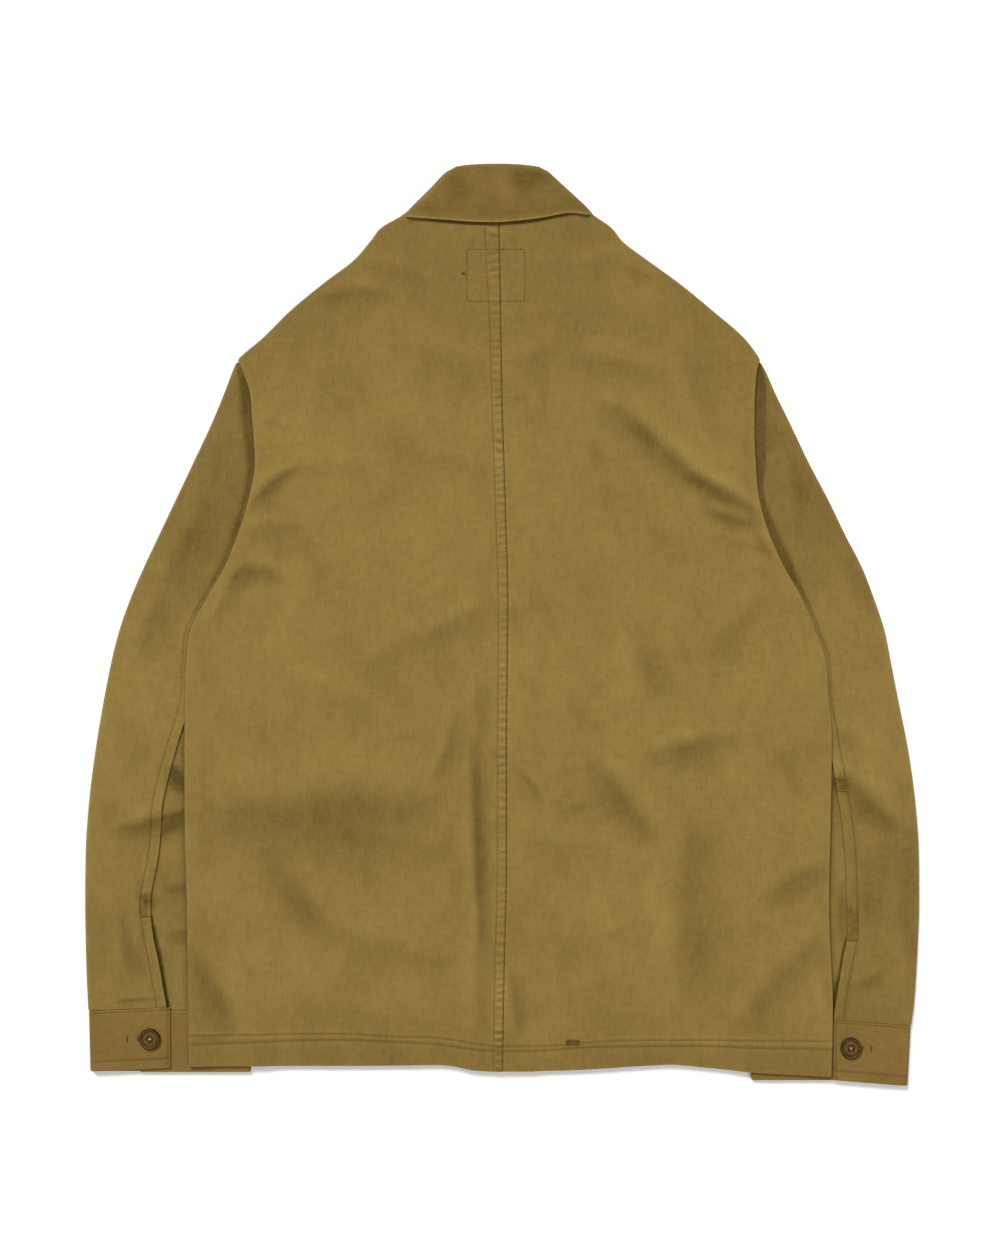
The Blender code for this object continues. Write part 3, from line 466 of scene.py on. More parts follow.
def back_height(x, y):
    """Height of the back's outer face away from its rolled edge."""
    distance = np.abs(x)
    right = x > curve(CENTRE_BACK, "x", y)
    inside = np.where(right, body_edge(RIGHT, y), body_edge(LEFT, y)) - distance
    fronts = np.maximum(front_height(LEFT, distance, y), front_height(RIGHT, distance, y))
    folds = creases(BACK_CREASES, x, y) + creases(BACK_CRINKLES, x, y)
    folds += ripples(x, y, 3, (34, 110), 0.018) + ripples(x, y, 8, (11, 30), 0.017)
    calm = 1 - 0.5 * fade(inside, 0.0, 10.0)
    level = curve(STACK, "back", y) + folds * calm
    level = higher(level, fronts + FRONT_CLOTH + CLEARANCE + BACK_CLOTH)
    rim = fade(inside, EDGE_HOLD, EDGE_FADE)
    edge_level = curve(STACK, "back_edge", y) + np.maximum(0.5 * folds, -0.8)
    level = higher(level, level * (1 - rim) + edge_level * rim, 0.6)
    return level + centre_relief(x, y) + hem_relief(x, y)


def follow_hem(x, y):
    """Let the lowest rows follow the hem's own line."""
    return y + fade(y - BODY_FOOT, 0.0, HEM_FOLLOW) * (curve(HEM, "y", x) - BODY_FOOT)


# ---- meshes ----
def place(name, data, location=(0.0, 0.0, 0.0)):
    """Put a mesh, lamp or camera into the scene."""
    piece = bpy.data.objects.new(name, data)
    bpy.context.scene.collection.objects.link(piece)
    piece.location = location
    return piece


def add_mesh(name, points, faces, material):
    """Make one smooth mesh object from points in millimetres."""
    mesh = bpy.data.meshes.new(name)
    mesh.from_pydata((np.asarray(points) * MM).tolist(), [], faces)
    mesh.shade_smooth()
    mesh.materials.append(material)
    return place(name, mesh)


def unit(vectors):
    return vectors / np.maximum(np.linalg.norm(vectors, axis=-1, keepdims=True), 1e-9)


def columns(*parts):
    """Parts of a grid side by side, each one spread over all of its rows."""
    tall = max(len(part) for part in parts)
    return np.concatenate([np.broadcast_to(part, (tall, part.shape[-1])) for part in parts], axis=1)


def border_distance(grid):
    """How far along the cloth each point lies from the nearest edge of the piece."""
    nearest = np.full(grid.shape[:2], np.inf)
    for axis in (0, 1):
        run = np.cumsum(np.linalg.norm(np.diff(grid, axis=axis), axis=2), axis=axis)
        run = np.insert(run, 0, 0.0, axis=axis)
        nearest = np.minimum(nearest, np.minimum(run, run.max(axis=axis, keepdims=True) - run))
    return nearest


def keep_wear_and_shade(piece, values):
    layer = piece.data.attributes.new("worn", "FLOAT", "POINT")
    layer.data.foreach_set("value", np.clip(values, -1, 1).astype(np.float32))


def cloth_shell(name, outer, thickness, material, facing, worn=0.0):
    """A closed thin shell under a grid of points, with rounded edges. Each point keeps a value for its
    colour: above 0 where the cloth is paler from rubbing and where a highlight is painted, below 0 where
    shade is painted into creases, grooves and gaps, and where the cloth is darker."""
    outward = unit(facing * np.cross(np.gradient(outer, axis=1), np.gradient(outer, axis=0)))
    inside = border_distance(outer)
    swell = np.sqrt(1 - (1 - np.clip(inside / (thickness / 2), 0, 1)) ** 2)[..., None]
    middle, out = outer - outward * thickness / 2, outward * swell * thickness / 2
    shape, within = inside.shape, (slice(1, -1), slice(1, -1))
    top = np.arange(inside.size).reshape(shape)
    bottom = top.copy()
    bottom[within] = inside.size + np.arange(top[within].size).reshape(top[within].shape)
    points = np.concatenate([(middle + out).reshape(-1, 3), (middle - out)[within].reshape(-1, 3)])
    faces = []
    for index, flip in ((top, facing < 0), (bottom, facing > 0)):
        corners = [index[:-1, :-1], index[:-1, 1:], index[1:, 1:], index[1:, :-1]]
        faces += np.stack(corners[::-1] if flip else corners, axis=-1).reshape(-1, 4).tolist()
    piece = add_mesh(name, points, faces, material)
    worn = np.broadcast_to(worn, shape)
    # Paler round the rounded rim, where edges rub, on top of the wear and painted shade that it is given.
    rim_wear_and_shade = worn + 0.18 * fade(inside, 0.3, 1.6)
    keep_wear_and_shade(piece, np.concatenate([rim_wear_and_shade.ravel(), worn[within].ravel()]))
    return piece


def tube_faces(rings, sides):
    """Faces round rings of points, with a cap at both ends."""
    faces = []
    for ring in range(rings - 1):
        for step in range(sides):
            a, b = ring * sides + step, ring * sides + (step + 1) % sides
            faces.append((a, b, b + sides, a + sides))
    last = (rings - 1) * sides
    return [*faces, tuple(range(sides))[::-1], tuple(range(last, last + sides))]


# ---- body panels ----
def rolled_panel(side, heights, flat, edge, radius, height, level, up):
    """A panel's grid: its flat columns, then those that roll it over at its edge."""
    angles = np.linspace(0, math.pi / 2, 6)
    x = side * columns(flat, edge - radius * (1 - np.sin(angles)))
    y = follow_hem(x, heights)
    shown = flat.shape[1]
    z = columns(height(x[:, :shown], y[:, :shown]), level - up * (radius * (1 - np.cos(angles))))
    return np.stack([x, y, z], axis=-1)


def make_back(side, material):
    fine_rows = ((0.0, 36.0, 0.8), (711.0, 728.0, 0.7))
    heights = (BODY_FOOT + stations(NECK_SEAM_Y - BODY_FOOT, ROW_STEP, fine_rows))[:, None]
    edge, radius = body_edge(side, heights), curve(STACK, "roll", heights)
    inner = stations(400.0, PANEL_STEP, ((0.0, 13.0, 0.7), (13.0, 32.0, 1.5)))
    near = side * curve(CENTRE_BACK, "x", heights) + 0.12 + inner[inner < 33.0]
    far = edge - radius - EDGE_RUN
    middle = np.linspace(0, 1, round(215 / PANEL_STEP))[1:-1]
    between = near[:, -1:] + (far[:, :1] - near[:, -1:]) * middle
    last_x = side * (edge - radius)
    level = back_height(last_x, follow_hem(last_x, heights))
    flat = columns(near, between, far)
    grid = rolled_panel(side, heights, flat, edge, radius, back_height, level, 1)
    x, y = grid[..., 0], grid[..., 1]
    # Painted shade in creases and crinkles, with a faint painted highlight on their heaps. Edges are paler
    # where they rub, and the cloth is darker towards the shoulders and the hem.
    worn = 0.34 * creases(BACK_CREASES, x, y)
    worn += 0.4 * creases(BACK_CRINKLES, x, y)
    worn += 0.1 * fade(np.abs(edge - side * x), 0.5, 4.0)
    # Painted light and shade across the puckers of the centre seam.
    worn += 1.3 * centre_ladder(x, y)
    worn -= 0.15 * fade(y - curve(HEM, "lower", x), -10.0, 16.0)
    worn -= 0.22 * fade(-y, -290.0, 130.0) + 0.12 * fade(y, -365.0, 60.0)
    across, width = from_centre(x, y)
    hem_rows = (y - curve(HEM, row, x) for row in ("upper", "lower"))
    # Painted shade along the rows of stitches of the centre seam and the hem.
    worn -= 0.35 * row_shade(across - width) + row_shade(*hem_rows)
    # Painted shadow on the back just below the collar's edge.
    below_collar = curve(COLLAR_EDGES, "edge", x) - COLLAR_SLIP - y
    worn -= 1.5 * fade(below_collar, 0.9, 1.5) * fade(np.abs(x + 4.0), 30.0, 50.0)
    return cloth_shell("back_panel_" + side_name(side), grid, BACK_CLOTH, material, side, worn)


def make_front(side, material):
    heights = (BODY_FOOT + stations(FRONT_TOP_Y - BODY_FOOT, HIDDEN_STEP))[:, None]
    edge = body_edge(side, heights) - curve(FRONT_INSET, "inset", heights)
    radius = np.maximum(curve(STACK, "roll", heights) * curve(STACK, "meet", heights), 0.05)
    opened = fade(curve(COLLAR_FRONT, "seam", 0.0) - heights, 0.0, 3.0)
    neck_part = curve(COLLAR_FRONT, "across", heights, key="seam")
    neckline = collar_x(heights, neck_part, collar_half_width(side, NECK_SEAM_Y))
    lap = -FRONT_LAP * (1 - opened) + (neckline + SEAM) * opened
    flat = lap + (edge - radius - lap) * (stations(300.0, HIDDEN_STEP) / 300.0)[:-1]
    level = front_height(side, edge - 1.0, heights)

    def height(x, y):
        return front_height(side, side * x, y)

    grid = rolled_panel(side, heights, flat, edge, radius, height, level, -1)
    return cloth_shell("front_panel_" + side_name(side), grid, FRONT_CLOTH, material, -side)


# ---- sleeves ----
def sleeve_sizes(side, y):
    """Distances of a top sleeve's back seam and outer fold, and the fold's radius."""
    seam, outer = (sleeve_line(line, side, y) for line in ("seam", "outer"))
    return seam, outer, curve(SLEEVE_LEVELS, "outer", y) / 2


def sleeve_valley(side, distance, y):
    """The dip beside the armhole: flat under the back's edge and rising quickly at its far side."""
    name = side_name(side)
    beside = (distance - body_edge(side, y)) / curve(VALLEYS, "width_" + name, y)
    drawn = puckers(y, beside * 3, 12, 5.2, 0.2, 3.2) * fade(np.abs(y - 70.0), 22.0, 20.0)
    return drawn - curve(VALLEYS, "depth_" + name, y) * np.exp(-(np.maximum(beside, 0.0) ** 4))


def sleeve_height(side, x, y):
    """Height of a top sleeve's upper side, from its back seam to its outer fold."""
    seam, outer, radius = sleeve_sizes(side, y)
    distance = np.abs(x)
    part = np.clip((distance - seam) / (outer - radius - seam), 0.0, 1.0)
    over, puff = curve(SLEEVE_LEVELS, "over", y), curve(SLEEVE_LEVELS, "puff", y)
    folds = creases(SLEEVE_CREASES, x, y) + creases(SLEEVE_CRINKLES, x, y)
    folds += ripples(x, y, 5, (30, 80), 0.018) + ripples(x, y, 9, (10, 26), 0.017)
    calm = (1 - part**5) * fade(SLEEVE_FOOT + 5 - y, 0.0, 6.0)
    across = distance - seam
    felled = FELL_RISE * fade(across, FELL_WIDTH, 2.0) + groove(across - FELL_WIDTH)
    felled += puckers(y, across - 0.3 * FELL_WIDTH, 4, 6.9, 0.36, 4.5)
    lift = VENT_LIFT[side] * fade(across, 1.0, 14.0) * fade(y, VENT_TOPS[side] - 14, 14.0)
    lift = lift * fade(SLEEVE_FOOT + 8 - y, 0.0, 22.0)
    level = over + (2 * radius - over) * part + puff * np.sin(math.pi * part)
    open_seam = fade(y, UNDER_SLEEVE_TOP - 30, 40.0)
    drawn = -0.35 * bell(y - sleeve_foot(side, distance, True), 2.0)
    return level + folds * calm + sleeve_valley(side, distance, y) + (felled + lift) * open_seam + drawn


def sleeve_foot(side, distance, upper):
    """Height at which the cuff is sewn on: it slopes across the upper side and is level below."""
    cuff = CUFFS[side]
    if not upper:
        return np.full(np.shape(distance), cuff["top"][1] + SEAM)
    return np.interp(distance, (cuff["lap_end"], cuff["outer"]), cuff["top"]) + SEAM


def follow_cuff(side, distance, y, upper):
    return y + fade(y - SLEEVE_FOOT, 0.0, CUFF_FOLLOW) * (sleeve_foot(side, distance, upper) - SLEEVE_FOOT)


def half_turn(centre, radius, start, stop, steps):
    """Distance and height round a fold, a column for each step."""
    angles = np.radians(np.linspace(start, stop, steps + 1))
    return centre + radius * np.cos(angles), radius * (1 + np.sin(angles))


def make_top_sleeve(side, material):
    heights = SLEEVE_FOOT + stations(SLEEVE_TOP - SLEEVE_FOOT, ROW_STEP, ((0.0, 18.0, 0.9),))
    heights = heights[:, None]
    seam, outer, radius = sleeve_sizes(side, heights)
    width = outer - radius - seam
    run = stations(SLEEVE_RUN, 2.6, ((0.0, 11.0, 0.8),))[:-4]
    squeeze = np.minimum(1.0, 0.42 * width / FELL_RUN)
    knee = FELL_RUN * squeeze / width
    rest = (run - FELL_RUN) / (SLEEVE_RUN - FELL_RUN)
    upper = seam + width * np.where(run < FELL_RUN, run * squeeze / width, knee + (1 - knee) * rest)
    turn_x, turn_z = half_turn(outer - radius, radius, 90, -90, 10)
    # Its lower side ends at the front seam, or under the front's armhole edge.
    at_seam = sleeve_line("fold", side, heights) + UNDER_SLEEVE_RETURN + SEAM
    at_armhole = body_edge(side, heights) - curve(FRONT_INSET, "inset", heights) - TUCK
    end = at_armhole + (at_seam - at_armhole) * fade(heights, UNDER_SLEEVE_TOP, 20.0)
    under = 1.0 - stations(100.0, 9.0)[::-1] / 100.0
    lower = end + (outer - radius - end) * (1 - under[1:])
    distance = columns(upper, turn_x, lower)
    top = upper.shape[1]
    shown = np.arange(distance.shape[1]) < top + 5
    y = np.where(shown, *(follow_cuff(side, distance, heights, upward) for upward in (True, False)))
    x = side * distance
    z = columns(sleeve_height(side, x[:, :top], y[:, :top]), turn_z, 0 * lower)
    # Painted shade in the dip beside the armhole and in creases. The sleeve is darker towards the shoulder
    # and towards the cuff, and paler along the outer fold, where it rubs.
    valley_shade = (0.4 if side < 0 else 0.7) * sleeve_valley(side, distance, y)
    worn = (0.3 * creases(SLEEVE_CREASES, x, y) + valley_shade) * shown
    worn = worn - 0.42 * fade(-y, -110.0, 150.0) - (0.3 if side > 0 else 0.12) * fade(y, -230.0, 110.0)
    worn = worn + 0.35 * bell(distance - outer, 2.5)
    # Painted shade along the felled seam's row of stitches.
    worn = worn - row_shade(distance - seam - FELL_WIDTH) * shown
    bars = 0.8 + 0.45 * np.sin(1.5 * y + 2.0 * np.sin(0.45 * y)) * np.cos(0.5 * distance)
    for across, reach, low, high, tone in TACKS[side]:
        beside = fade(np.abs(distance - seam - across), reach, 1.4)
        beyond = np.abs(y - (low + high) / 2)
        worn = worn - tone * bars * beside * fade(beyond, (high - low) / 2 - 1, 4.5) * shown
    grid = np.stack([x, y, z], axis=-1)
    return cloth_shell("sleeve_top_" + side_name(side), grid, SLEEVE_CLOTH, material, side, worn)


def make_under_sleeve(side, material):
    heights = (SLEEVE_FOOT + stations(UNDER_SLEEVE_TOP - SLEEVE_FOOT, 2.5))[:, None]
    seam = sleeve_line("seam", side, heights) + SLEEVE_LAP
    fold = sleeve_line("fold", side, heights)
    level = curve(SLEEVE_LEVELS, "under", heights)
    radius = level / 2
    part = (stations(100.0, 3.0, ((6.0, 17.0, 0.7),)) / 100.0)[:-1]
    upper = seam + (fold + radius - seam) * part
    turn_x, turn_z = half_turn(fold + radius, radius, 90, 270, 8)
    lower = fold + radius + (UNDER_SLEEVE_RETURN - radius) * (stations(30.0, 6.0) / 30.0)[1:]
    x = side * columns(upper, turn_x, lower)
    y = follow_cuff(side, np.abs(x), heights, False)
    top = y[:, : upper.shape[1]]
    soft = np.minimum(0.0, creases(SLEEVE_CREASES, side * upper, top)) * 0.9
    soft = np.maximum(soft, -1.2) * fade(SLEEVE_FOOT + 14 - top, 0.0, 14.0)
    beside = upper - seam + SLEEVE_LAP
    high, wide = GAPS[side]
    gap = fade(top, high, 10.0) * np.exp(-((beside / wide) ** 4))
    gap = np.maximum(gap, 0.75 * fade(top, VENT_TOPS[side] - 4, 8.0) * bell(beside, 1.5))
    gap = gap * fade(SLEEVE_FOOT + 2 - top, 0.0, 44.0)
    z = columns(level + soft - 0.9 * gap, turn_z, 0 * lower)
    worn = np.zeros_like(x)
    past_back = upper - body_edge(side, heights)
    # Painted shade in creases and in the vent's gap, a painted shadow beside the back's edge, and a little
    # darker all over.
    worn[:, : upper.shape[1]] = 0.8 * soft - 1.2 * gap - 0.15 - 0.35 * fade(past_back, 1.0, 6.0)
    grid = np.stack([x, y, z], axis=-1)
    return cloth_shell("sleeve_under_" + side_name(side), grid, SLEEVE_CLOTH, material, -side, worn)


# ---- cuffs ----
def cuff_limits(cuff, distance, upper):
    """Heights of a cuff's two long edges, which slope on its upper side."""
    if not upper:
        return cuff["hidden_bottom"], cuff["top"][1]
    span = (cuff["lap_end"], cuff["outer"])
    return np.interp(distance, span, cuff["bottom"]), np.interp(distance, span, cuff["top"])


def cuff_rows(cuff, distance, y):
    """Distances from a cuff's three rows of stitches."""
    bottom, top = cuff_limits(cuff, distance, True)
    return y - bottom - CUFF_HEM_ROW, top - CUFF_EDGE_ROW - y, distance - cuff["lap_end"] - CUFF_EDGE_ROW


def cuff_height(side, distance, y):
    """Its level, with grooves at its rows of stitches and a firm band's slight waves."""
    cuff = CUFFS[side]
    hem_row, top_row, end_row = cuff_rows(cuff, distance, y)
    rows = groove(hem_row) + 1.2 * groove(top_row) + groove(end_row)
    drawn = puckers(distance, cuff_limits(cuff, distance, True)[1] - y, 6, 7.4, 0.3, 6.0)
    drawn += puckers(distance, hem_row, 7, 8.0, 0.22, 6.0)
    relief = rows + drawn + 1.2 * ripples(side * distance, y, 11, (14, 40), 0.02)
    calm = fade(distance, cuff["outer"] - CUFF_OVER / 2 - 12.0, 12.0)
    return CUFF_OVER + relief * calm - 0.2 * fade(distance - cuff["lap_end"], 0.0, 10.0)


def make_cuff(side, material):
    """A band that runs from its lapped end round both folds to the end under the lap."""
    cuff = CUFFS[side]
    outer, inner = cuff["outer"] - CUFF_OVER / 2, cuff["fold"] + CUFF_UNDER / 2
    across = cuff["lap_end"] + stations(outer - cuff["lap_end"], 1.8, ((0.0, 3.6, 0.6),))[:-6]
    outer_x, outer_z = half_turn(outer, CUFF_OVER / 2, 90, -90, 10)
    inner_x, inner_z = half_turn(inner, CUFF_UNDER / 2, 270, 90, 8)
    base = np.linspace(outer, inner, 24)[1:-1]
    under = inner + stations(cuff["underlap_end"] - inner, 3.0)[6:]
    distance = np.concatenate([across, outer_x, base, inner_x, under])
    level = np.concatenate([0 * across, outer_z, 0 * base, inner_z, 0 * under + CUFF_UNDER])
    part = (stations(51.0, 1.5, ((5.5, 11.0, 0.8), (46.5, 50.0, 0.7))) / 51.0)[:, None]
    top = len(across)
    shown = np.arange(len(distance)) <= top + 5
    ends = [cuff_limits(cuff, distance, upper) for upper in (True, False)]
    y = np.where(shown, *(low + part * (high - low) for low, high in ends))
    slant = cuff["slant"] * (2 * part - 1) * fade(outer - distance, 0.0, 60.0)
    z = level + 0 * y
    z[:, :top] = cuff_height(side, across, y[:, :top])
    # Painted shade along the cuff's rows of stitches.
    worn = -row_shade(*cuff_rows(cuff, distance, y)) * shown
    grid = np.stack([side * (distance + slant), y, z], axis=-1)
    return cloth_shell("cuff_band_" + side_name(side), grid, CUFF_CLOTH, material, side, worn)


# ---- collar ----
def collar_half_width(side, y):
    return curve(COLLAR_SIDES, side_name(side), y) - COLLAR_REACH


def collar_x(y, across, half_width):
    """Distance from the middle on the collar's front part, whose ends spread below the break."""
    spread = COLLAR_SPREAD * np.clip((COLLAR_BREAK_Y - y) / (COLLAR_BREAK_Y - COLLAR_POINT_Y), 0, 1)
    return COLLAR_END_X + spread + (half_width - COLLAR_END_X - spread) * across


def collar_profile(plies, foot, turn_y, edge):
    """Offset and height across the collar, from its free edge over the fold to the neck seam."""
    middle, radius = (plies["stand"] + plies["fall"]) / 2, (plies["fall"] - plies["stand"]) / 2
    part = stations(45.0, 2.2) / 45.0
    angles = np.linspace(0, math.pi, 12)[1:-1]
    stand = np.linspace(turn_y, foot, 12)
    offset = [0 * part + plies["fall"], middle + radius * np.cos(angles), 0 * stand + plies["stand"]]
    level = [edge + part * (turn_y - edge), turn_y + radius * np.sin(angles), stand]
    return np.concatenate(offset), np.concatenate(level)


def collar_station(side, plies, kind, value):
    """One section of the collar at a station: back, turned side or front."""
    foot = NECK_SEAM_Y
    part = value if kind == "back" else 1.0
    top_x, low_x = (side * part * collar_half_width(side, y) for y in (COLLAR_TOP_Y, COLLAR_LOW_Y))
    fold = side_fold = curve(COLLAR_EDGES, "fold", top_x)
    edge = side_edge = curve(COLLAR_EDGES, "edge", low_x)
    turn = {"back": 90.0, "side": value, "front": -90.0}[kind]
    if kind != "back":
        fold = side_fold = fold - COLLAR_CORNER * math.cos(math.radians(np.clip(turn, 0.0, 90.0)))
    if kind == "front":
        foot, fold, edge = (curve(COLLAR_FRONT, line, value) for line in ("seam", "fold", "edge"))
    if plies is UNDER_COLLAR:
        edge, side_edge = edge + COLLAR_TUCK, side_edge + COLLAR_TUCK
    drop = COLLAR_TURN + plies["drop"]
    offset, y = collar_profile(plies, foot + SEAM / 2, fold - drop, edge)
    _, side_y = collar_profile(plies, NECK_SEAM_Y + SEAM / 2, side_fold - drop, side_edge)
    half = collar_half_width(side, side_y)
    distance = collar_x(y, value, half) if kind == "front" else half * part
    lean, rise = math.cos(math.radians(turn)), math.sin(math.radians(turn))
    return np.stack([side * (distance + offset * lean), y, NECK_CENTRE_Z + offset * rise], axis=-1)


def make_collar(name, plies, material):
    """The collar from one front end round the back of the neck to the other."""
    placed = [("back", part) for part in np.linspace(0, 1, 26)]
    placed += [("side", angle) for angle in np.linspace(90, -90, 14)[1:-1]]
    placed += [("front", 1 - 0.98 * part) for part in stations(90.0, 3.6) / 90.0]
    left, right = ([collar_station(side, plies, *spot) for spot in placed] for side in (LEFT, RIGHT))
    grid = np.array(left[::-1] + right[1:])
    grid[..., 1] -= COLLAR_SLIP * np.clip((grid[..., 2] - NECK_CENTRE_Z) / COLLAR_REACH, 0.0, 1.0)
    x, y = grid[..., 0], grid[..., 1]
    top_side = fade(NECK_CENTRE_Z + 2.0 - grid[..., 2], 0.0, 4.0)
    soft = creases(COLLAR_CREASES, x, y)
    soft = np.maximum(soft + ripples(x, y, 13, (12, 40), 0.03), -1.2)
    soft = soft * fade(y + COLLAR_SLIP - curve(COLLAR_EDGES, "fold", x) + 9.0, 0.0, 7.0) * top_side
    beyond = y + COLLAR_SLIP - curve(COLLAR_EDGES, "edge", x)
    grid[..., 2] += soft - (1.0 if plies is TOP_COLLAR else 0.45) * fade(beyond, 1.0, 9.0) * top_side
    worn = 0.0
    if plies is TOP_COLLAR:
        welt = 0.5 * bell(beyond, 3.2) - 0.15 * bell(beyond - 6.0, 2.4)
        grid[..., 2] += welt * top_side
        # Painted shade in creases, darker all over, and paler at the rolled edge: partly wear from rubbing,
        # partly a painted highlight.
        worn = (0.4 * soft - 0.2 + 0.8 * bell(beyond, 1.6)) * top_side
    return cloth_shell(name, grid, COLLAR_CLOTH, material, -1, worn)


# ---- stitching ----
def thread_pieces(name, runs, material, radius=THREAD, sink=0.32, swell=0.0):
    """Many short lengths of thread as one mesh, each one dipping into the cloth at its ends."""
    starts, stops = (np.concatenate([run[k] for run in runs]) for k in (0, 1))
    run = unit(stops - starts)
    across = unit(np.cross(np.array((0.0, 0.0, 1.0)), run))
    up = np.cross(run, across)
    places = np.array((0.0, 0.12, 0.5, 0.88, 1.0))[:, None]
    thickness = radius * np.array((0.45, 0.9, 1.0, 0.9, 0.45))[:, None, None]
    rise = (np.array((-sink, 0.0, swell, 0.0, -sink)) + radius * 0.5)[:, None]
    centre = starts[:, None] + (stops - starts)[:, None] * places + up[:, None] * rise
    angles = (np.arange(6) * math.pi / 3)[:, None]
    ring = (np.cos(angles) * across[:, None] + np.sin(angles) * up[:, None])[:, None]
    points = (centre[:, :, None] + ring * thickness).reshape(-1, 3)
    size = len(places) * len(angles)
    one = tube_faces(len(places), len(angles))
    faces = [[first + i for i in face] for first in range(0, len(points), size) for face in one]
    return add_mesh(name, points, faces, material)


def path_run(path):
    """Distance along a path at each of its points."""
    return np.concatenate([[0.0], np.cumsum(np.linalg.norm(np.diff(path, axis=0), axis=1))])


def line(corners):
    """x and y about 2 mm apart along straight lines through a few corners."""
    corners = np.asarray(corners, dtype=float)
    run = path_run(corners)
    at = np.linspace(0.0, run[-1], max(2, round(run[-1] / 2.0) + 1))
    return [np.interp(at, run, corners[:, k]) for k in (0, 1)]


def rows_up(low, high):
    return np.linspace(low, high, max(2, round((high - low) / 4) + 1))


def stitch_run(x, y, height):
    """Start and end of each stitch along a path, laid on a height."""
    path = np.stack([x, y], axis=1)
    run = path_run(path)
    count = max(1, round(run[-1] / STITCH))
    chance = np.random.default_rng(len(path) + count)
    marks = np.linspace(0.0, run[-1], count + 1)
    marks[1:-1] += chance.normal(0.0, 0.12, count - 1)
    ends = []
    for at in (marks[:-1] + 0.6, marks[1:] - 0.6):
        x, y = (np.interp(at, run, path[:, k]) for k in (0, 1))
        aside = chance.normal(0.0, 0.06, count)
        ends.append(np.stack([x + aside, y + aside, height(x, y)], axis=1))
    return ends


def bars(x, y, far_x, far_y, height, lift):
    """Straight stitches side by side, a little above the height where they start."""
    x, y, far_x, far_y = np.broadcast_arrays(x, y, far_x, far_y)
    z = height(x, y) + lift
    return np.stack([x, y, z], axis=1), np.stack([far_x, far_y, z], axis=1)


def knot(x, y, reach, turns):
    """A few turns of thread left where a row was started or ended."""
    chance = np.random.default_rng(turns)
    spread = np.array((reach, 0.35 * reach + 0.5, 0.25))
    starts, stops = (chance.uniform(-1.0, 1.0, (turns, 3)) * spread for _ in range(2))
    middle = np.array((x, y, float(back_height(np.array(x), np.array(y))) + 0.35))
    return starts + middle, stops + middle


def back_stitches(thread, neck_thread):
    y = rows_up(-375.0, 350.0)
    seam, width = from_centre(0.0, y)
    paths = [(seam - width, y), (seam - 1.0, y)]
    for row in ("upper", "lower"):
        for x in (np.linspace(-263.0, 0.0, 80), np.linspace(1.0, 277.0, 80)):
            paths.append((x, curve(HEM, row, x)))
    neck = [stitch_run(*line(NECK_PATCH), back_height), *(knot(*spot) for spot in KNOTS)]
    rows = [stitch_run(*path, back_height) for path in paths]
    return [thread_pieces("back_stitches", rows, thread), thread_pieces("neck_stitches", neck, neck_thread)]


def sleeve_stitches(side, thread):
    """The row up the felled back seam and down beside the vent, and the bar tacks."""

    def height(x, y):
        return sleeve_height(side, x, y)

    y = rows_up(CUFFS[side]["top"][0] + 2.0, -70.0)
    runs = [stitch_run(side * (sleeve_line("seam", side, y) + FELL_WIDTH), y, height)]
    for level in BAR_TACKS[side]:
        x = side * (sleeve_line("seam", side, level) + np.linspace(0.2, FELL_WIDTH + 0.2, 22))
        runs.append(bars(x, level - 0.9, x, level + 0.9, height, 0.2))
    return thread_pieces("sleeve_stitches_" + side_name(side), runs, thread)


def cuff_stitches(side, thread, hole_thread):
    cuff = CUFFS[side]

    def height(x, y):
        return cuff_height(side, np.abs(x), y)

    end = cuff["lap_end"] + CUFF_EDGE_ROW
    x = np.linspace(end, cuff["outer"] - 4.5, 40)
    bottom, top = cuff_limits(cuff, x, True)
    low, high = cuff_limits(cuff, end, True)
    end_row = line(((side * end, low + 1.0), (side * end, high - CUFF_EDGE_ROW)))
    paths = [(side * x, bottom + CUFF_HEM_ROW), (side * x, top - CUFF_EDGE_ROW), end_row]
    rows = [stitch_run(*path, height) for path in paths]
    button_x, button_y = cuff["button"]
    hole_end = cuff["hole_end"]
    y = button_y + np.linspace(-2.6, 2.6, 13)
    hole = [bars(side * hole_end, y, side * (hole_end + 0.9), y, height, 0.25)]
    slit = side * np.linspace(button_x - 4.0, button_x + 11.0, 46)
    for edge, far in ((-0.25, -1.5), (0.25, 1.5)):
        hole.append(bars(slit, button_y + edge, slit, button_y + edge + far, height, 0.2))
    name = side_name(side)
    return [
        thread_pieces("cuff_stitches_" + name, rows, thread),
        thread_pieces("buttonhole_" + name, hole, hole_thread),
    ]


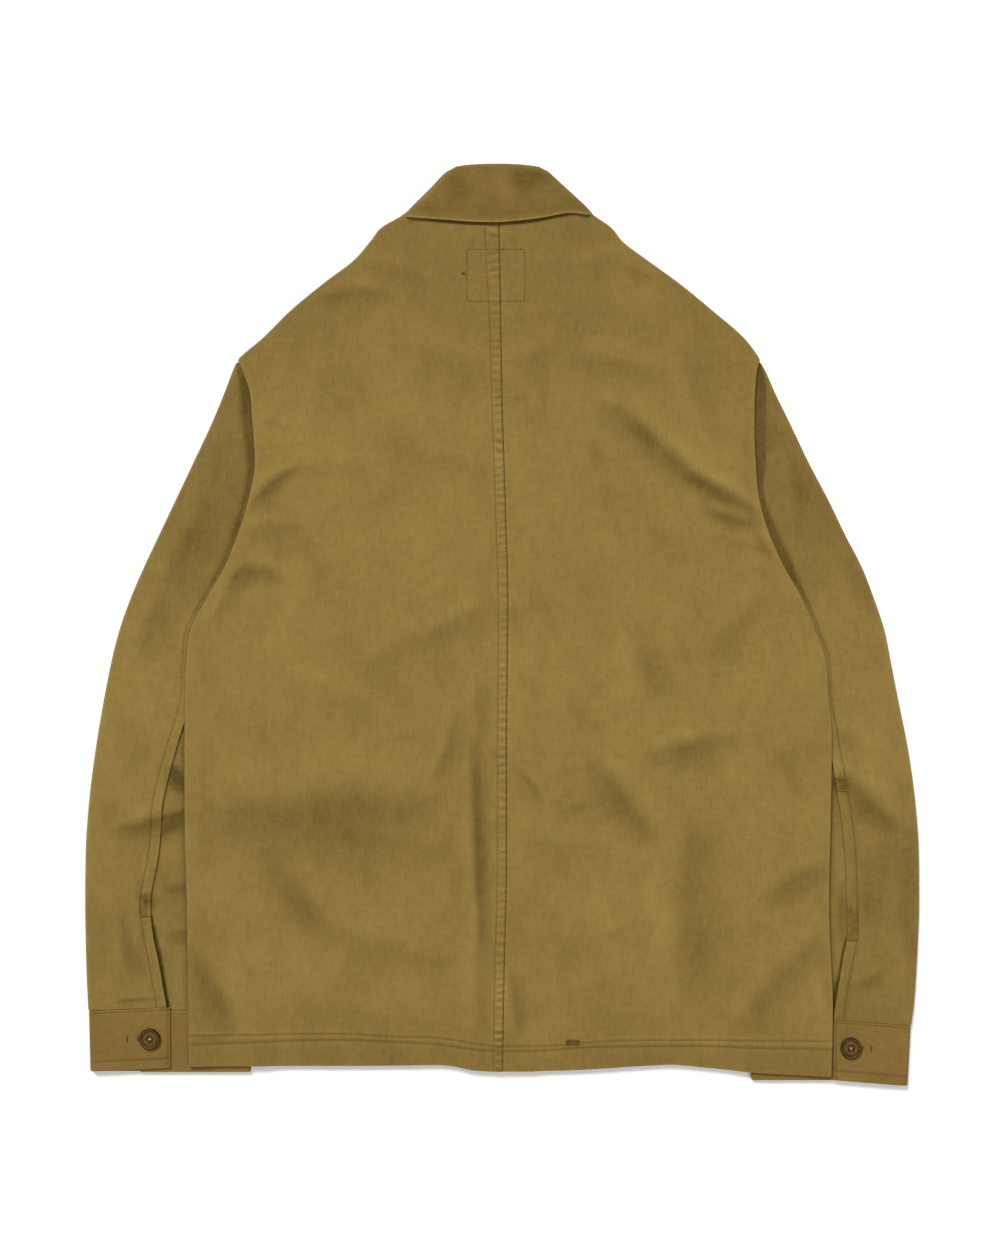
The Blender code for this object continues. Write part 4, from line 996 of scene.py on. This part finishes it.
# ---- buttons ----
def make_button(name, x, y, base, facing, turn, material, thread):
    """A turned button with a raised rim, a dished middle, four holes and crossed thread."""
    radii, levels, button_wear_and_shade = (values[1:-1] for values in BUTTON_PROFILE.values())
    angles = np.arange(BUTTON_SIDES) * 2 * math.pi / BUTTON_SIDES
    points = [(r * math.cos(a), r * math.sin(a), z) for r, z in zip(radii, levels) for a in angles]
    button = add_mesh(name, points, tube_faces(len(radii), BUTTON_SIDES), material)
    # Rim paler where it rubs; painted shade round the wall, in the groove and beside the holes.
    keep_wear_and_shade(button, np.repeat(button_wear_and_shade, BUTTON_SIDES))
    places = [math.radians(turn + step) for step in (0, 90, 180, 270)]
    for angle in places:
        spot = (HOLE_APART * MM * math.cos(angle), HOLE_APART * MM * math.sin(angle), 0.0)
        bpy.ops.mesh.primitive_cylinder_add(vertices=20, radius=HOLE_RADIUS * MM, depth=0.01, location=spot)
        cut = button.modifiers.new("hole", "BOOLEAN")
        cut.object = bpy.context.active_object
        cut.solver = "EXACT"
    bpy.context.view_layer.update()
    drilled = bpy.data.meshes.new_from_object(button.evaluated_get(bpy.context.evaluated_depsgraph_get()))
    for drill in [cut.object for cut in button.modifiers]:
        bpy.data.objects.remove(drill, do_unlink=True)
    button.modifiers.clear()
    button.data = drilled
    drilled.set_sharp_from_angle(angle=math.radians(38))
    span = 0.75 * HOLE_APART
    holes = np.array([(span * math.cos(a), span * math.sin(a), 1.6) for a in places])
    shifts = np.array((-0.2, 0.2))[:, None] * (1, -1, 0)
    strands = [(holes[a] + shifts, holes[b] + shifts) for a, b in ((0, 2), (1, 3))]
    strands = thread_pieces(name + "_thread", strands, thread, radius=0.18, sink=1.6, swell=0.1)
    for part in (button, strands):
        points = np.array([v.co for v in part.data.vertices])
        if facing < 0:
            points[:, 2] = BUTTON_THICKNESS * MM - points[:, 2]
            part.data.flip_normals()
        points += np.array((x, y, base)) * MM
        part.data.vertices.foreach_set("co", points.astype(np.float32).ravel())
        part.data.update()
    return button, strands


# ---- materials ----
def linear(colour):
    """An sRGB hex value as a linear colour."""
    channels = [int(colour[i : i + 2], 16) / 255 for i in (0, 2, 4)]
    return (*[c / 12.92 if c <= 0.04045 else ((c + 0.055) / 1.055) ** 2.4 for c in channels], 1.0)


def node(tree, kind, values):
    """Add a node, or take one that is there, and set its properties, constants and links. A link
    is another node's socket, or a node whose first output is meant."""
    made = tree.nodes.new("ShaderNode" + kind) if isinstance(kind, str) else kind
    for name, value in values.items():
        if isinstance(value, bpy.types.Node):
            value = value.outputs[0]
        if name == "colours":  # a ramp's, from its dark end to its light one
            stops = made.color_ramp.elements
            if len(value) > 2:
                stops.new(0.5)
            for stop, colour in zip(stops, value):
                stop.color = linear(colour)
        elif isinstance(value, bpy.types.NodeSocket):
            tree.links.new(value, made.inputs[name])
        elif isinstance(name, str) and hasattr(made, name):
            setattr(made, name, value)
        else:
            made.inputs[name].default_value = value
    return made


def new_material(name, recipe, *choices):
    """A material whose shader gets what a recipe makes for it."""
    material = bpy.data.materials.new(name)
    material.use_nodes = True
    tree = material.node_tree
    place = node(tree, "TexCoord", {}).outputs["Object"]
    node(tree, tree.nodes["Principled BSDF"], recipe(tree, place, *choices))
    return material


def cotton_drill(tree, place, grain_degrees, *colours):
    """Cotton drill, woven in a twill, piece-dyed khaki and washed: matt, with a fine slubby grain, a faint
    diagonal, paler where edges rub, and painted shade in creases, grooves and gaps with painted highlights
    on crease heaps and puckers."""
    turn = {"Rotation": (0.0, 0.0, math.radians(grain_degrees)), "Vector": place}
    yarn = node(tree, "Mapping", {"Scale": (1000.0, 1000.0, 1000.0), **turn})

    def noise(detail, *scale):
        spread = node(tree, "Mapping", {"Scale": scale, "Vector": yarn})
        pattern = {"Scale": 1.0, "Detail": detail, "Roughness": 0.55, "Vector": spread}
        return node(tree, "TexNoise", pattern)

    # Yarns are 0.4 mm apart, so slubs are drawn four times as coarse as they are, or they
    # wouldn't show. Warp slubs run along the cloth and weft slubs across it.
    warp_slub, weft_slub = noise(2.0, 0.45, 0.10, 0.4), noise(2.0, 0.10, 0.5, 0.4)
    fleck, cloud = noise(3.0, 0.24, 0.2, 0.2), noise(3.0, 0.06, 0.035, 0.05)
    wash = noise(3.0, 0.013, 0.011, 0.012)
    # The twill's diagonal is 0.9 mm apart in the cloth and 1.9 mm here, so that it shows.
    slant = node(tree, "Mapping", {"Rotation": (0.0, 0.0, math.radians(32)), "Vector": yarn})
    bands = {"bands_direction": "X", "Scale": 0.165, "Distortion": 2.0, "Detail": 2.0, "Vector": slant}
    twill = node(tree, "TexWave", bands).outputs["Fac"]
    worn = node(tree, "Attribute", {"attribute_name": "worn"}).outputs["Fac"]
    tone = node(tree, "Math", {"operation": "MULTIPLY", 0: worn, 1: 0.42})
    shares = {warp_slub: 0.17, weft_slub: 0.11, fleck: 0.20, cloud: 0.20, wash: 0.30, twill: 0.03}
    for texture, share in shares.items():
        centred = node(tree, "Math", {"operation": "SUBTRACT", 0: texture, 1: 0.5})
        tone = node(tree, "Math", {"operation": "MULTIPLY_ADD", 0: centred, 1: share, 2: tone})
    tone = node(tree, "Math", {"operation": "ADD", "use_clamp": True, 0: tone, 1: 0.5})
    relief = node(tree, "Math", {"operation": "MULTIPLY_ADD", 0: warp_slub, 1: 1.5, 2: weft_slub})
    relief = node(tree, "Math", {"operation": "MULTIPLY_ADD", 0: twill, 1: 0.25, 2: relief})
    return {
        "Base Color": node(tree, "ValToRGB", {"Fac": tone, "colours": colours}),
        "Roughness": node(tree, "MapRange", {"To Min": 0.82, "To Max": 0.96, "Value": fleck}),
        "Normal": node(tree, "Bump", {"Strength": 0.35, "Distance": 0.0004, "Height": relief}),
        "IOR": 1.5, "Specular IOR Level": 0.25,
        "Sheen Weight": 0.1, "Sheen Roughness": 0.5, "Sheen Tint": linear("CDBB88"),
    }


def sewing_thread(tree, place, *colours):
    """Polyester core-spun sewing thread: matt, tonal, a little darker than the cloth."""
    shade = node(tree, "TexNoise", {"Scale": 400.0, "Detail": 2.0, "Vector": place})
    ply = node(tree, "TexWave", {"Scale": 900.0, "Distortion": 1.0, "Vector": place}).outputs["Fac"]
    return {
        "Base Color": node(tree, "ValToRGB", {"Fac": shade, "colours": colours}),
        "Normal": node(tree, "Bump", {"Strength": 0.4, "Distance": 0.0001, "Height": ply}),
        "Roughness": 0.8, "IOR": 1.5, "Specular IOR Level": 0.2,
    }


def corozo(tree, place, *colours):
    """Corozo nut, turned, dyed brown and tumbled: a satin surface with fine grain, pale wear on the rim,
    and painted shade in its groove, round its wall and beside its holes."""
    grain = node(tree, "Mapping", {"Scale": (300.0, 1400.0, 600.0), "Vector": place})
    streak = node(tree, "TexNoise", {"Scale": 1.0, "Detail": 5.0, "Roughness": 0.6, "Vector": grain})
    cloud = node(tree, "TexNoise", {"Scale": 160.0, "Detail": 3.0, "Vector": place})
    mixed = node(tree, "Math", {"operation": "MULTIPLY_ADD", 0: cloud, 1: 0.5, 2: streak})
    worn = node(tree, "Attribute", {"attribute_name": "worn"}).outputs["Fac"]
    mixed = node(tree, "Math", {"operation": "MULTIPLY_ADD", 0: worn, 1: 0.7, 2: mixed})
    tone = node(tree, "MapRange", {"From Min": 0.4, "From Max": 1.1, "Value": mixed})
    return {
        "Base Color": node(tree, "ValToRGB", {"Fac": tone, "colours": colours}),
        "Roughness": node(tree, "MapRange", {"To Min": 0.42, "To Max": 0.6, "Value": cloud}),
        "Normal": node(tree, "Bump", {"Strength": 0.2, "Distance": 0.0001, "Height": streak}),
        "IOR": 1.53, "Specular IOR Level": 0.15,
    }


def studio_paper(tree, place, *colours):
    """Matt white background paper, with the faint unevenness of its tooth."""
    tooth = node(tree, "TexNoise", {"Scale": 300.0, "Detail": 3.0, "Vector": place})
    ramp = node(tree, "ValToRGB", {"Fac": tooth, "colours": colours})
    return {"Base Color": ramp, "Roughness": 0.9, "Specular IOR Level": 0.1}


# ---- stage ----
FLOOR_HALF, FLOOR_Z = 2500, -0.3
PIXEL = 0.85  # millimetres of the garment to a pixel of the photograph
PHOTO_CENTRE = (-1.7, -0.4)
LENS, SENSOR = 40.0, 36.0
LONG_SIDE = 1250


def add_light(name, spot, size, power):
    """A soft square light that looks at the middle of the jacket."""
    lamp = bpy.data.lights.new(name, "AREA")
    lamp.shape = "SQUARE"
    lamp.size = size
    lamp.energy = power
    holder = place(name, lamp, spot)
    holder.rotation_euler = Vector(-np.array(spot)).to_track_quat("-Z", "Y").to_euler()


def set_stage():
    corners = [(x * FLOOR_HALF, y * FLOOR_HALF, FLOOR_Z) for x, y in ((-1, -1), (1, -1), (1, 1), (-1, 1))]
    paper = new_material("studio_paper", studio_paper, "F6F6F5", "FAFAF9")
    add_mesh("floor", corners, [(0, 1, 2, 3)], paper)
    add_light("key", (-3.0, 6.0, 6.3), 2.6, 840)
    add_light("fill", (2.0, -1.4, 4.0), 3.0, 68)
    world = bpy.data.worlds.new("studio")
    bpy.context.scene.world = world
    world.use_nodes = True
    tree = world.node_tree
    node(tree, tree.nodes["Background"], {"Color": (1.0, 1.0, 1.0, 1.0), "Strength": 0.40})
    bpy.context.scene.view_settings.view_transform = "Standard"


def set_camera():
    """Straight above, framed as the photograph is and about as near."""
    camera = bpy.data.cameras.new("camera")
    camera.lens = LENS
    camera.sensor_width = SENSOR
    camera.clip_end = 20.0
    distance = PIXEL * MM * LONG_SIDE * LENS / SENSOR
    spot = (PHOTO_CENTRE[0] * MM, PHOTO_CENTRE[1] * MM, distance + 6 * MM)
    bpy.context.scene.camera = place("camera", camera, spot)


CUTS = (  # piece, its solid, slot, width, length and area of the cut in metres, what it rests on
    ("back_panel_left", "back_left", "body_cloth", 0.29, 0.76, 0.174, "front_panel_left"),
    ("back_panel_right", "back_right", "body_cloth", 0.30, 0.76, 0.176, "front_panel_right"),
    ("front_panel_left", "front_left", "body_cloth", 0.31, 0.75, 0.180, "cuff_band_left"),
    ("front_panel_right", "front_right", "body_cloth", 0.32, 0.75, 0.186, "cuff_band_right"),
    ("sleeve_top_left", "top_sleeve_left", "sleeve_cloth", 0.24, 0.60, 0.092, "sleeve_under_left"),
    ("sleeve_top_right", "top_sleeve_right", "sleeve_cloth", 0.24, 0.60, 0.091, "sleeve_under_right"),
    ("sleeve_under_left", "under_sleeve_left", "sleeve_cloth", 0.14, 0.42, 0.047, "floor"),
    ("sleeve_under_right", "under_sleeve_right", "sleeve_cloth", 0.14, 0.42, 0.049, "floor"),
    ("cuff_band_left", "cuff_left", "trim_cloth", 0.30, 0.051, 0.0153, "floor"),
    ("cuff_band_right", "cuff_right", "trim_cloth", 0.30, 0.051, 0.0153, "floor"),
    ("collar_top_ply", "collar_top", "trim_cloth", 0.42, 0.10, 0.029, "collar_under_ply"),
    ("collar_under_ply", "collar_under", "trim_cloth", 0.41, 0.10, 0.027, "back_panel_left"),
)


def declare(pieces, sewn):
    """Attach each shell and its threads to the root, and hide the solid that the shell replaces."""
    for piece, solid, slot, width, length, area, rests_on in CUTS:
        shell = pieces[piece]
        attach(shell, "root")
        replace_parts(shell, solid)
        for thread in sewn.get(piece, []):
            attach(thread, "root")


DRILLS = (  # name, degrees that the grain is turned, and the colours of painted shade, of the cloth, and of edges paled by rubbing and painted highlights
    ("body", 0.0, "4B390E", "7D662F", "9C844A"), ("left_sleeve", 8.0, "4B390E", "7E6730", "9C844A"),
    ("right_sleeve", -8.0, "4B390E", "7E6730", "9C844A"), ("trim", 90.0, "46340D", "755B29", "937A42"),
    ("collar", 90.0, "46350D", "725B27", "907940"),
)
THREADS = (
    ("seam_thread", "5C4716", "82672C"), ("buttonhole_thread", "4A350F", "6E5628"),
    ("button_thread", "9A8566", "CDB99C"),
)


def main():
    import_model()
    body, left_sleeve, right_sleeve, trim, collar = (
        new_material("washed_drill_" + name, cotton_drill, *choices) for name, *choices in DRILLS
    )
    seam_thread, hole_thread, button_thread = (
        new_material(name, sewing_thread, *colours) for name, *colours in THREADS
    )
    nut = new_material("corozo_button", corozo, "241402", "6A5114")
    made, sewn, buttons = [], {}, []
    for side, sleeve in ((LEFT, left_sleeve), (RIGHT, right_sleeve)):
        name = side_name(side)
        made += [make_back(side, body), make_front(side, body), make_cuff(side, trim)]
        made += [make_top_sleeve(side, sleeve), make_under_sleeve(side, sleeve)]
        sewn["sleeve_top_" + name] = [sleeve_stitches(side, seam_thread)]
        sewn["cuff_band_" + name] = cuff_stitches(side, seam_thread, hole_thread)
        x, y = CUFFS[side]["button"]
        spot = (side * x, y, CUFF_OVER + SEAM, 1, CUFFS[side]["button_turn"])
        buttons.append(("cuff_button_" + name, spot))
    sewn["back_panel_left"] = back_stitches(seam_thread, hole_thread)
    made.append(make_collar("collar_top_ply", TOP_COLLAR, collar))
    made.append(make_collar("collar_under_ply", UNDER_COLLAR, collar))
    for number, y in enumerate(FRONT_BUTTON_YS, start=1):
        buttons.append((f"front_button_{number}", (0.0, y, 0.0, -1, 31 * number)))
    for solid, spot in buttons:
        button, strands = make_button("sewn_" + solid, *spot, nut, button_thread)
        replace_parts(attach(button, "root"), solid)
        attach(strands, "root")
    declare({piece.name: piece for piece in made}, sewn)
    set_stage()
    set_camera()


main()
